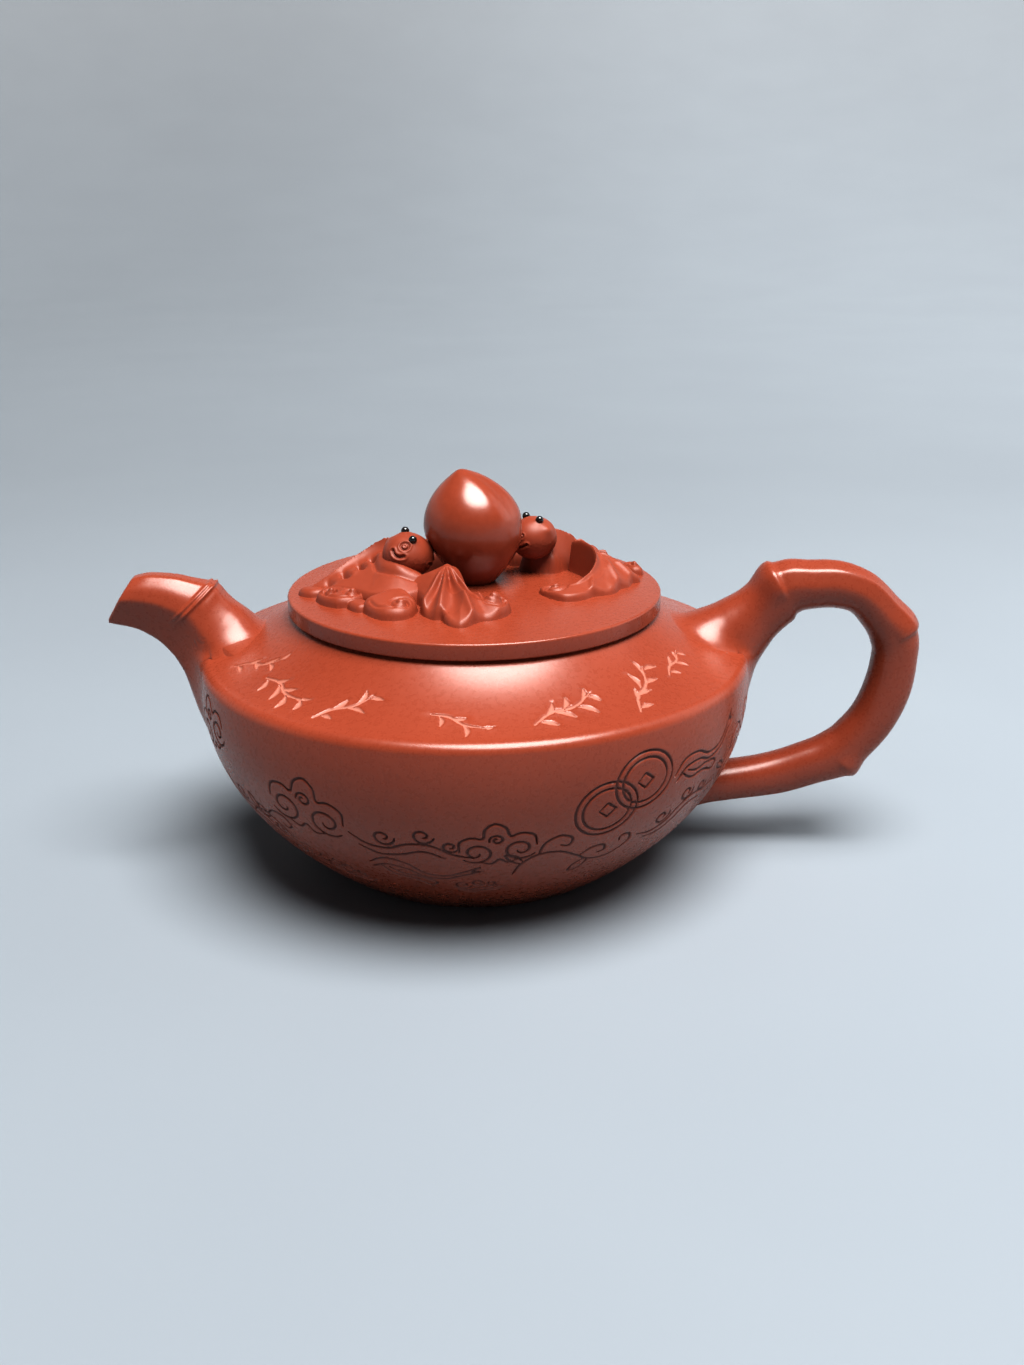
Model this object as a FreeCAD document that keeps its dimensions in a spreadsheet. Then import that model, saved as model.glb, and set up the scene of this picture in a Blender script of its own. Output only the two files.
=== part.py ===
"""Slab-built clay teapot: round keeled body, faceted spout, ear handle, and a
lift-off lid with a peach knob and two bats in relief.

Frame: +Z up, millimetres.  The origin is the centre of the flat base, the
spout points along -X and the handle along +X.
"""
import FreeCAD, Part
import Sketcher
import math
import os

V = FreeCAD.Vector
doc = FreeCAD.newDocument("clay_teapot")
sheet = doc.addObject("Spreadsheet::Sheet", "sizes")
cells = {}


def size(alias, value):
    """One driving dimension: its name in column A, its number in column B."""
    r = len(cells) + 1
    sheet.set("A%d" % r, alias)
    sheet.set("B%d" % r, "%.4f" % value)
    sheet.setAlias("B%d" % r, alias)
    cells[alias] = round(float(value), 4)
    return cells[alias]


# ---------------------------------------------------------------- dimensions
size("base_radius", 32.0)            # flat disc the pot stands on
size("base_thick", 3.2)
size("foot_radius", 36.3)            # where the wall meets the base disc
size("low_mid_radius", 44.25)        # lower curve of the bowl
size("low_mid_height", 10.21)
size("belly_radius", 51.38)
size("belly_height", 18.86)
size("side_mid_radius", 55.40)
size("side_mid_height", 26.62)
size("wide_radius", 57.57)
size("wide_height", 35.26)
size("upper_mid_radius", 57.84)
size("upper_mid_height", 39.95)
size("keel_radius", 57.60)           # joint of wall and shoulder
size("keel_height", 43.90)
size("keel_mid_radius", 57.05)
size("keel_mid_height", 45.30)
size("keel_top_radius", 55.36)
size("keel_top_height", 46.13)
size("slope_mid_radius", 48.02)      # hollow slope of the shoulder
size("slope_mid_height", 48.84)
size("neck_foot_radius", 40.98)
size("neck_height", 52.60)
size("neck_mid_radius", 39.45)
size("neck_mid_height", 53.77)
size("neck_top_radius", 38.00)
size("neck_top_height", 54.90)
size("seat_radius", 37.50)           # flat seat for the lid
size("seat_height", 55.27)
size("mouth_radius", 33.00)
size("in_foot_radius", 31.50)        # inside of the bowl
size("in_low_radius", 42.20)
size("in_low_height", 12.40)
size("in_belly_radius", 48.86)
size("in_belly_height", 20.50)
size("in_side_radius", 52.55)
size("in_side_height", 27.50)
size("in_wide_radius", 54.60)
size("in_wide_height", 35.50)
size("in_keel_radius", 53.40)        # inside of the shoulder
size("in_slope_radius", 44.80)
size("in_slope_height", 47.00)
size("in_neck_radius", 38.00)
size("in_neck_height", 50.00)
size("in_mouth_height", 50.60)
size("spout_hole_radius", 6.20)
size("strainer_wall", 1.50)
size("strainer_collar", 5.80)
size("strainer_hole_radius", 1.10)
size("strainer_pitch", 3.10)
size("flange_outer_radius", 32.70)   # 0.3 mm clear of the mouth
size("flange_inner_radius", 29.70)
size("flange_bottom_height", 48.00)
size("lid_radius", 39.03)
size("lid_edge_height", 58.05)
size("lid_rim_radius", 38.40)
size("lid_rim_height", 58.65)
size("lid_top_radius", 31.00)
size("lid_top_height", 59.60)
size("air_hole_radius", 1.20)
size("air_hole_offset", 13.60)
size("peach_foot_radius", 5.00)
size("peach_foot_height", 60.40)
size("peach_low_radius", 8.50)
size("peach_low_height", 65.20)
size("peach_wide_radius", 10.20)
size("peach_wide_height", 71.60)
size("peach_cheek_radius", 8.50)
size("peach_cheek_height", 77.00)
size("peach_shoulder_radius", 4.01)
size("peach_shoulder_height", 80.43)
size("peach_point_radius", 0.70)
size("peach_point_height", 83.10)
size("peach_tip_height", 83.60)
size("left_head_radius", 4.90)
size("left_head_x", -13.60)
size("left_head_y", -4.40)
size("left_head_height", 66.60)
size("right_head_radius", 4.70)
size("right_head_x", 12.60)
size("right_head_y", 7.00)
size("right_head_height", 67.40)
size("eye_radius", 0.85)
size("left_back_height", 3.40)       # heights over the lid's top
size("right_back_height", 4.00)
size("wing_edge", 1.80)
size("wing_peak", 7.00)
size("rear_wing_peak", 6.50)
size("lobe_thick", 2.20)
C = cells


# ------------------------------------------------------------------- helpers
def update(*objects):
    """Brings the sheet and the given objects up to date, and nothing else."""
    sheet.recompute()
    doc.recompute(list(objects))


def new_body(label):
    b = doc.addObject("PartDesign::Body", label)
    b.Label = label
    return b


def new_sketch(body, name, role="XZ_Plane", offset=None):
    s = body.newObject("Sketcher::SketchObject", name)
    base = [f for f in body.Origin.OriginFeatures if f.Role == role][0]
    s.AttachmentSupport = [(base, "")]
    s.MapMode = "FlatFace"
    if offset is not None:
        s.AttachmentOffset = offset
    return s


def pin(sk, geo, pos, axis, value, alias):
    """Holds one coordinate of a sketch point at the number in a cell."""
    if abs(value) < 1e-9:
        sk.addConstraint(Sketcher.Constraint(
            "PointOnObject", geo, pos, -2 if axis == "X" else -1))
        return
    if value > 0:
        i = sk.addConstraint(Sketcher.Constraint(
            "Distance" + axis, -1, 1, geo, pos, value))
    else:
        i = sk.addConstraint(Sketcher.Constraint(
            "Distance" + axis, geo, pos, -1, 1, -value))
    if alias:
        sk.setExpression("Constraints[%d]" % i, "abs(sizes.%s)" % alias)


def outline(sk, nodes):
    """A closed outline.  Each node is (x, y, via): x and y are a cell's name
    or a number, via is None for a straight run to the next node, or the
    middle point of an arc to it."""
    def num(v):
        return C[v] if isinstance(v, str) else float(v)

    def name(v):
        return v if isinstance(v, str) else None
    pts = [(num(a), num(b)) for a, b, _ in nodes]
    n = len(nodes)
    ids = []
    ends = []
    for i, (a, b, via) in enumerate(nodes):
        p, q = pts[i], pts[(i + 1) % n]
        p3, q3 = V(p[0], p[1], 0), V(q[0], q[1], 0)
        if via is None:
            ids.append(sk.addGeometry(Part.LineSegment(p3, q3), False))
            ends.append((1, 2))
        else:
            m = V(num(via[0]), num(via[1]), 0)
            arc = Part.Arc(p3, m, q3)
            ids.append(sk.addGeometry(arc, False))
            got = sk.getPoint(ids[-1], 1)
            ends.append((1, 2) if (got - p3).Length < 1e-4 else (2, 1))
    for i in range(n):
        j = (i + 1) % n
        sk.addConstraint(Sketcher.Constraint(
            "Coincident", ids[i], ends[i][1], ids[j], ends[j][0]))
    for i, (a, b, via) in enumerate(nodes):
        pin(sk, ids[i], ends[i][0], "X", pts[i][0], name(a))
        pin(sk, ids[i], ends[i][0], "Y", pts[i][1], name(b))
        if via is not None:
            r = sk.Geometry[ids[i]].Radius
            alias = "%s_arc%s" % (sk.Name, "abcdefghijklmnop"[i])
            size(alias, r)
            k = sk.addConstraint(Sketcher.Constraint("Radius", ids[i], C[alias]))
            sk.setExpression("Constraints[%d]" % k, "sizes.%s" % alias)
    return ids


def letters(i):
    return "abcdefghijklmnopqrstuvwxyz"[i]


def polygon(sk, tag, pts):
    """A closed straight-sided outline whose corners are all in the sheet."""
    nodes = []
    for i, (px, py) in enumerate(pts):
        ax = "%s_x_%s" % (tag, letters(i))
        ay = "%s_y_%s" % (tag, letters(i))
        size(ax, px)
        size(ay, py)
        nodes.append((ax, ay, None))
    outline(sk, nodes)


def revolve(body, sk, name, kind="PartDesign::Revolution"):
    f = body.newObject(kind, name)
    f.Profile = sk
    f.ReferenceAxis = (sk, ["V_Axis"])
    f.Angle = 360.0
    sk.Visibility = False
    update(sk, f, body)
    return f


def pad(body, sk, name, alias):
    f = body.newObject("PartDesign::Pad", name)
    f.Profile = sk
    f.Length = C[alias]
    f.setExpression("Length", "sizes.%s" % alias)
    update(sk, f, body)
    return f


def loft(body, sketches, name, ruled, kind="PartDesign::AdditiveLoft"):
    f = body.newObject(kind, name)
    f.Profile = sketches[0]
    f.Sections = sketches[1:]
    f.Ruled = ruled
    f.Closed = False
    update(*(sketches + [f, body]))
    return f


# outside of the pot, from the base's edge up to the joint under the lid
BOWL = [("foot_radius", "base_thick", ("low_mid_radius", "low_mid_height")),
        ("belly_radius", "belly_height", ("side_mid_radius", "side_mid_height")),
        ("wide_radius", "wide_height", ("upper_mid_radius", "upper_mid_height"))]
SHOULDER = [("keel_radius", "keel_height", ("keel_mid_radius", "keel_mid_height")),
            ("keel_top_radius", "keel_top_height", ("slope_mid_radius", "slope_mid_height"))]

# ------------------------------------------------------------- base and walls
base_plate = new_body("base_plate")
sk = new_sketch(base_plate, "base_profile")
outline(sk, [(0, 0, None), ("base_radius", 0, (34.2, 1.58)),
             ("foot_radius", "base_thick", None), (0, "base_thick", None)])
revolve(base_plate, sk, "base_turn")

bowl_blank = new_body("bowl_blank")
sk = new_sketch(bowl_blank, "bowl_profile")
outline(sk, BOWL + [
    ("keel_radius", "keel_height", None),
    ("in_wide_radius", "keel_height", None),
    ("in_wide_radius", "in_wide_height", ("in_side_radius", "in_side_height")),
    ("in_belly_radius", "in_belly_height", ("in_low_radius", "in_low_height")),
    ("in_foot_radius", "base_thick", None)])
revolve(bowl_blank, sk, "bowl_turn")

shoulder_blank = new_body("shoulder_blank")
sk = new_sketch(shoulder_blank, "shoulder_profile")
outline(sk, SHOULDER + [
    ("neck_foot_radius", "neck_height", None),
    ("mouth_radius", "neck_height", None),
    ("mouth_radius", "in_mouth_height", None),
    ("in_neck_radius", "in_neck_height", None),
    ("in_slope_radius", "in_slope_height", None),
    ("in_keel_radius", "keel_height", None)])
revolve(shoulder_blank, sk, "shoulder_turn")

mouth_ring = new_body("mouth_ring")
sk = new_sketch(mouth_ring, "neck_profile")
outline(sk, [
    ("neck_foot_radius", "neck_height", ("neck_mid_radius", "neck_mid_height")),
    ("neck_top_radius", "neck_top_height", None),
    ("seat_radius", "seat_height", None),
    ("mouth_radius", "seat_height", None),
    ("mouth_radius", "neck_height", None)])
revolve(mouth_ring, sk, "neck_turn")

# ----------------------------------------------------------- spout and strainer
# All sections of the spout lie in parallel slanted planes: "n" runs up along
# the section, "d" runs outwards through the spout.
N = V(0.5608, 0, 0.8280)
D = V(-0.8280, 0, 0.5608)


def spout_frame(cx, cz):
    """Section plane in the XZ plane's own axes: across the pot, then up."""
    m = FreeCAD.Matrix()
    sx, sy, sz = V(0, 0, -1), V(N.x, N.z, 0), None
    sz = sx.cross(sy)
    m.A11, m.A21, m.A31 = sx.x, sx.y, sx.z
    m.A12, m.A22, m.A32 = sy.x, sy.y, sy.z
    m.A13, m.A23, m.A33 = sz.x, sz.y, sz.z
    m.A14, m.A24, m.A34 = cx, cz, 0
    return FreeCAD.Placement(m)


def facet_section(a, b, low=0.44):
    """Eight-sided section: half height a, half width b, widest above the
    middle, and as wide as low times b at its bottom."""
    return [(0.38 * b, a), (0.80 * b, 0.62 * a), (b, 0.16 * a), (low * b, -a),
            (-low * b, -a), (-b, 0.16 * a), (-0.80 * b, 0.62 * a), (-0.38 * b, a)]


# centre x, centre z, half height, half width
SPOUT = [(-41.0, 37.2, 14.5, 14.5), (-53.7, 45.7, 11.0, 10.2),
         (-57.2, 49.6, 9.1, 7.9), (-58.9, 52.2, 8.9, 7.1), (-60.0, 52.9, 8.2, 6.5),
         (-62.7, 54.2, 7.5, 5.9), (-66.4, 55.5, 6.8, 5.3), (-71.0, 56.4, 6.1, 4.9),
         (-74.3, 56.7, 5.6, 4.6)]
spout = new_body("spout")
sections = []
for i, (cx, cz, a, b) in enumerate(SPOUT):
    s = new_sketch(spout, "spout_skin_%s" % letters(i), offset=spout_frame(cx, cz))
    polygon(s, "spout_skin_%s" % letters(i),
            facet_section(a, b, (0.80, 0.70, 0.56)[i] if i < 3 else 0.44))
    sections.append(s)
loft(spout, sections, "spout_skin", True)
skin_volume = spout.Shape.Volume
CHANNEL = [(-41.0, 37.2, 6.8, 6.4), (-53.7, 45.7, 6.8, 6.4), (-58.9, 52.1, 6.2, 4.9),
           (-62.7, 54.2, 5.3, 4.1), (-66.4, 55.5, 4.7, 3.6), (-71.0, 56.4, 4.3, 3.4),
           (-77.0, 57.0, 4.1, 3.3)]
sections = []
for i, (cx, cz, a, b) in enumerate(CHANNEL):
    s = new_sketch(spout, "spout_bore_%s" % letters(i), offset=spout_frame(cx, cz))
    polygon(s, "spout_bore_%s" % letters(i), facet_section(a, b, 0.50))
    sections.append(s)
loft(spout, sections, "spout_bore", True, "PartDesign::SubtractiveLoft")
bored_volume = spout.Shape.Volume
# the root of the spout is cut to the outside of the pot
sk = new_sketch(spout, "spout_seat")
outline(sk, [(0, 0, None), ("base_radius", 0, (34.2, 1.58))] + BOWL + SHOULDER +
        [("neck_foot_radius", "neck_height", ("neck_mid_radius", "neck_mid_height")),
         ("neck_top_radius", "neck_top_height", None), (0, "neck_top_height", None)])
revolve(spout, sk, "spout_root_cut", "PartDesign::Groove")
assert skin_volume > bored_volume > spout.Shape.Volume > 0

# hole through the wall behind the spout, and the strainer that sits in it
HOLE_C = V(-53.7, 0, 45.7)
HOLE_ROT = FreeCAD.Rotation(V(0, 0, 1), D)


def cut_hole(blank, label):
    cyl = doc.addObject("Part::Cylinder", label + "_spout_hole")
    cyl.Radius = C["spout_hole_radius"]
    cyl.setExpression("Radius", "sizes.spout_hole_radius")
    cyl.Height = 30.0
    cyl.Placement = FreeCAD.Placement(HOLE_C - D * 20.0, HOLE_ROT)
    cut = doc.addObject("Part::Cut", label)
    cut.Label = label
    cut.Base = blank
    cut.Tool = cyl
    update(cyl, cut)
    assert cut.Shape.Volume < blank.Shape.Volume
    return cut


lower_bowl = cut_hole(bowl_blank, "lower_bowl")
shoulder_shell = cut_hole(shoulder_blank, "shoulder_shell")

spout_strainer = new_body("spout_strainer")
sk = new_sketch(spout_strainer, "strainer_profile")
r0 = C["spout_hole_radius"]
r1 = r0 - C["strainer_wall"]
size("strainer_inner_radius", r1)
h = math.sqrt(0.5)
outline(sk, [(0, -r0, (r0 * h, -r0 * h)), ("spout_hole_radius", 0, None),
             ("spout_hole_radius", "strainer_collar", None),
             ("strainer_inner_radius", "strainer_collar", None),
             ("strainer_inner_radius", 0, (r1 * h, -r1 * h)), (0, -r1, None)])
revolve(spout_strainer, sk, "strainer_turn")
whole = spout_strainer.Shape.Volume
sk = new_sketch(spout_strainer, "strainer_holes", "XY_Plane")
g = sk.addGeometry(Part.Circle(V(0, 0, 0), V(0, 0, 1), C["strainer_hole_radius"]), False)
sk.addConstraint(Sketcher.Constraint("Coincident", g, 3, -1, 1))
k = sk.addConstraint(Sketcher.Constraint("Radius", g, C["strainer_hole_radius"]))
sk.setExpression("Constraints[%d]" % k, "sizes.strainer_hole_radius")
for i in range(6):
    t = math.radians(60 * i)
    cxy = V(C["strainer_pitch"] * math.cos(t), C["strainer_pitch"] * math.sin(t), 0)
    q = sk.addGeometry(Part.Circle(cxy, V(0, 0, 1), C["strainer_hole_radius"]), False)
    sk.addConstraint(Sketcher.Constraint("Equal", g, q))
    for axis, val in (("X", cxy.x), ("Y", cxy.y)):
        pin(sk, q, 3, axis, val if abs(val) > 1e-6 else 0.0, None)
f = spout_strainer.newObject("PartDesign::Pocket", "strainer_drilling")
f.Profile = sk
f.Length = 12.0
update(sk, f, spout_strainer)
if not f.Shape.Volume < whole - 1.0:
    f.Reversed = True
    update(f, spout_strainer)
assert f.Shape.Volume < whole - 1.0
spout_strainer.Placement = FreeCAD.Placement(HOLE_C - D * 6.5, HOLE_ROT)

# --------------------------------------------------------------------- handle
# centre x, centre z, direction of the outer side (degrees), half depth, half width
HANDLE = [(43.0, 38.5, 128, 12.5, 12.0), (51.0, 43.6, 128, 9.6, 9.2),
          (56.2, 48.0, 126, 7.5, 6.6),
          (60.8, 53.4, 126, 6.2, 5.3), (65.0, 57.3, 118, 6.4, 5.2),
          (66.6, 58.2, 108, 6.4, 5.2), (71.3, 58.8, 95, 5.4, 4.9),
          (76.5, 58.7, 84, 5.2, 4.8), (81.3, 57.1, 68, 4.9, 4.8),
          (85.6, 53.1, 48, 4.9, 4.8), (88.6, 48.6, 32, 5.4, 4.9),
          (89.5, 46.0, 18, 5.2, 4.9), (89.6, 41.6, 4, 4.85, 4.8),
          (88.7, 35.0, -12, 5.0, 4.8), (86.0, 28.4, -28, 4.95, 4.7),
          (81.8, 23.0, -44, 5.0, 4.7), (79.0, 20.2, -52, 5.7, 4.8),
          (77.4, 19.5, -58, 5.5, 4.7), (73.6, 18.2, -66, 4.9, 4.6),
          (66.6, 15.9, -75, 4.7, 4.5), (57.8, 14.4, -84, 4.4, 4.5),
          (50.0, 13.8, -88, 4.5, 4.9), (43.0, 13.4, -90, 4.8, 5.4)]
handle = new_body("handle")
sections = []
for i, (cx, cz, ang, a, b) in enumerate(HANDLE):
    up = V(math.cos(math.radians(ang)), math.sin(math.radians(ang)), 0)
    sx = V(0, 0, -1)
    sz = sx.cross(up)
    m = FreeCAD.Matrix()
    m.A11, m.A21, m.A31 = sx.x, sx.y, sx.z
    m.A12, m.A22, m.A32 = up.x, up.y, up.z
    m.A13, m.A23, m.A33 = sz.x, sz.y, sz.z
    m.A14, m.A24, m.A34 = cx, cz, 0
    tag = "handle_" + letters(i)
    s = new_sketch(handle, tag, offset=FreeCAD.Placement(m))
    polygon(s, tag, [(0.45 * b, a), (b, 0.45 * a), (b, -0.45 * a), (0.45 * b, -a),
                     (-0.45 * b, -a), (-b, -0.45 * a), (-b, 0.45 * a), (-0.45 * b, a)])
    sections.append(s)
loft(handle, sections, "handle_ear", True)
ear_volume = handle.Shape.Volume
sk = new_sketch(handle, "handle_seat")
outline(sk, [(0, 0, None), ("base_radius", 0, (34.2, 1.58))] + BOWL + SHOULDER +
        [("neck_foot_radius", "neck_height", ("neck_mid_radius", "neck_mid_height")),
         ("neck_top_radius", "neck_top_height", None), (0, "neck_top_height", None)])
revolve(handle, sk, "handle_root_cut", "PartDesign::Groove")
assert 0 < handle.Shape.Volume < ear_volume

# ------------------------------------------------------------------------ lid
lid_flange = new_body("lid_flange")
sk = new_sketch(lid_flange, "flange_profile")
outline(sk, [("flange_inner_radius", "flange_bottom_height", None),
             ("flange_outer_radius", "flange_bottom_height", None),
             ("flange_outer_radius", "seat_height", None),
             ("flange_inner_radius", "seat_height", None)])
revolve(lid_flange, sk, "flange_turn")

lid_plate = new_body("lid_plate")
sk = new_sketch(lid_plate, "lid_profile")
outline(sk, [(0, "seat_height", None), ("lid_radius", "seat_height", None),
             ("lid_radius", "lid_edge_height", None),
             ("lid_rim_radius", "lid_rim_height", None),
             ("lid_top_radius", "lid_top_height", None), (0, "lid_top_height", None)])
revolve(lid_plate, sk, "lid_turn")
solid_lid = lid_plate.Shape.Volume
sk = new_sketch(lid_plate, "air_hole", "XY_Plane")
g = sk.addGeometry(Part.Circle(V(0, C["air_hole_offset"], 0), V(0, 0, 1),
                               C["air_hole_radius"]), False)
k = sk.addConstraint(Sketcher.Constraint("Radius", g, C["air_hole_radius"]))
sk.setExpression("Constraints[%d]" % k, "sizes.air_hole_radius")
sk.addConstraint(Sketcher.Constraint("PointOnObject", g, 3, -2))
k = sk.addConstraint(Sketcher.Constraint("DistanceY", -1, 1, g, 3, C["air_hole_offset"]))
sk.setExpression("Constraints[%d]" % k, "sizes.air_hole_offset")
f = lid_plate.newObject("PartDesign::Pocket", "air_hole_drilling")
f.Profile = sk
f.Length = 90.0
f.Reversed = True
update(sk, f, lid_plate)
assert f.Shape.Volume < solid_lid - 5.0

peach_knob = new_body("peach_knob")
sk = new_sketch(peach_knob, "peach_profile")
outline(sk, [(0, "lid_top_height", None), ("peach_foot_radius", "lid_top_height", None),
             ("peach_foot_radius", "peach_foot_height", ("peach_low_radius", "peach_low_height")),
             ("peach_wide_radius", "peach_wide_height",
              ("peach_cheek_radius", "peach_cheek_height")),
             ("peach_shoulder_radius", "peach_shoulder_height", None),
             ("peach_point_radius", "peach_point_height", None),
             (0, "peach_tip_height", None)])
revolve(peach_knob, sk, "peach_turn")


# ----------------------------------------------------------------------- bats
def flat_at(alias_extra=None):
    """Plane on the lid's top, raised by a cell's amount."""
    z = C["lid_top_height"] + (C[alias_extra] if alias_extra else 0.0)
    return FreeCAD.Placement(V(0, 0, z), FreeCAD.Rotation())


def lift(sk, expr):
    sk.setExpression("AttachmentOffset.Base.z", expr)


def mound(label, low, high, alias):
    """Back of a bat: a tapered block with a flat top that carries the head."""
    b = new_body(label)
    s0 = new_sketch(b, label + "_low", "XY_Plane", flat_at())
    lift(s0, "sizes.lid_top_height")
    polygon(s0, label + "_low", low)
    s1 = new_sketch(b, label + "_high", "XY_Plane", flat_at(alias))
    lift(s1, "sizes.lid_top_height + sizes.%s" % alias)
    polygon(s1, label + "_high", high)
    loft(b, [s0, s1], label + "_back", True)
    return b


def wing(label, edge, low, high, peak):
    """Wing: a thin scalloped plate with a tent of skin raised to its wrist."""
    b = new_body(label)
    s0 = new_sketch(b, label + "_edge", "XY_Plane", flat_at())
    lift(s0, "sizes.lid_top_height")
    polygon(s0, label + "_edge", edge)
    pad(b, s0, label + "_plate", "wing_edge")
    plate = b.Shape.Volume
    s1 = new_sketch(b, label + "_low", "XY_Plane", flat_at("wing_edge"))
    lift(s1, "sizes.lid_top_height + sizes.wing_edge")
    polygon(s1, label + "_low", low)
    s2 = new_sketch(b, label + "_high", "XY_Plane", flat_at(peak))
    lift(s2, "sizes.lid_top_height + sizes.%s" % peak)
    polygon(s2, label + "_high", high)
    loft(b, [s1, s2], label + "_tent", True)
    assert b.Shape.Volume > plate
    return b


def lobes(label, edge):
    b = new_body(label)
    s0 = new_sketch(b, label + "_edge", "XY_Plane", flat_at())
    lift(s0, "sizes.lid_top_height")
    polygon(s0, label + "_edge", edge)
    pad(b, s0, label + "_plate", "lobe_thick")
    return b


left_bat_body = mound(
    "left_bat_body",
    [(-10.5, -6.5), (-9.8, -1.5), (-13.0, 3.0), (-20.0, 5.0), (-28.0, 2.5),
     (-35.5, -3.6), (-30.0, -8.0), (-20.0, -9.3)],
    [(-10.6, -5.8), (-10.3, -2.6), (-13.2, 0.6), (-18.0, 2.2), (-23.0, 1.2),
     (-27.5, -2.2), (-23.0, -5.6), (-16.0, -7.8)], "left_back_height")
right_bat_body = mound(
    "right_bat_body",
    [(9.4, 6.0), (11.0, 3.5), (15.0, 3.0), (18.2, 6.4), (19.2, 10.8), (24.0, 12.0),
     (30.0, 12.0), (32.5, 13.0), (28.0, 16.8), (20.0, 16.8), (13.0, 13.6), (10.0, 10.0)],
    [(9.8, 6.2), (11.0, 4.4), (14.6, 4.0), (16.8, 7.0), (18.8, 11.2), (22.0, 12.4),
     (25.0, 12.6), (26.0, 13.0), (24.0, 14.4), (19.0, 14.2), (13.4, 11.6), (10.4, 9.2)],
    "right_back_height")
left_bat_front_wing = wing(
    "left_bat_front_wing",
    [(-10.0, -22.2), (-6.5, -26.3), (-2.1, -30.7), (2.4, -26.7), (7.6, -22.4),
     (5.5, -17.6), (1.0, -17.5), (-2.2, -9.8), (-5.0, -9.0), (-8.8, -10.8)],
    [(-9.4, -21.0), (-2.2, -28.6), (1.2, -24.0), (-2.6, -10.6), (-5.0, -9.8), (-8.2, -11.4)],
    [(-6.6, -12.4), (-5.6, -13.0), (-4.8, -12.6), (-4.6, -11.2), (-5.6, -10.6), (-6.6, -11.2)],
    "wing_peak")
right_bat_front_wing = wing(
    "right_bat_front_wing",
    [(13.6, -8.2), (15.9, -12.8), (18.5, -14.6), (22.6, -12.9), (26.8, -9.3), (30.3, -3.8),
     (35.0, 1.7), (34.5, 6.0), (31.0, 9.6), (25.0, 9.8), (20.6, 7.4), (21.6, 3.4),
     (21.8, -3.5), (18.0, -6.0)],
    [(20.9, 6.8), (22.0, 3.4), (22.2, -3.5), (25.0, -8.0), (30.0, -1.5), (32.0, 4.0),
     (29.0, 8.4), (25.0, 8.8)],
    [(21.2, 6.8), (21.8, 5.4), (22.4, 4.2), (23.0, 3.4), (23.8, 4.0), (24.0, 5.4),
     (23.4, 6.8), (22.4, 7.2)], "wing_peak")
left_bat_rear_wing = wing(
    "left_bat_rear_wing",
    [(-8.4, 8.8), (-5.2, 12.0), (-3.8, 16.0), (-3.0, 21.5), (-4.5, 28.0), (-9.0, 32.0),
     (-14.5, 29.5), (-20.0, 26.0), (-24.0, 20.5), (-26.5, 14.0), (-27.5, 7.4), (-20.0, 6.2),
     (-13.5, 4.6)],
    [(-8.8, 9.8), (-6.2, 13.0), (-5.6, 22.0), (-10.0, 28.5), (-18.0, 22.0), (-14.0, 9.0)],
    [(-9.6, 12.2), (-8.8, 12.8), (-8.6, 13.8), (-9.4, 14.4), (-10.4, 13.8), (-10.4, 12.6)],
    "rear_wing_peak")
right_bat_rear_wing = wing(
    "right_bat_rear_wing",
    [(8.4, 12.2), (12.4, 15.2), (19.0, 18.4), (26.0, 18.8), (30.0, 18.6), (27.0, 24.0),
     (20.5, 29.0), (13.5, 32.5), (8.0, 33.0), (4.0, 30.0), (2.4, 25.0), (3.2, 20.0),
     (5.6, 15.0)],
    [(8.6, 13.4), (13.0, 17.0), (19.0, 20.0), (20.0, 26.0), (10.0, 30.5), (5.4, 22.0)],
    [(8.8, 16.2), (9.8, 16.2), (10.4, 17.0), (10.2, 18.0), (9.2, 18.2), (8.4, 17.2)],
    "rear_wing_peak")
left_bat_cloud_lobes = lobes(
    "left_bat_cloud_lobes",
    [(-35.6, -5.2), (-35.0, -7.6), (-32.6, -9.4), (-31.8, -11.2), (-29.0, -15.6),
     (-25.2, -17.2), (-23.8, -18.9), (-21.5, -20.2), (-19.0, -24.0), (-14.2, -25.9),
     (-11.5, -23.3), (-10.7, -19.7), (-11.0, -11.0), (-14.0, -10.4), (-20.5, -10.4),
     (-30.4, -8.9)])
right_bat_tail = lobes(
    "right_bat_tail",
    [(32.4, 10.4), (34.6, 8.0), (36.2, 8.6), (36.0, 11.4), (34.6, 14.0), (33.2, 12.8)])


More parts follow.
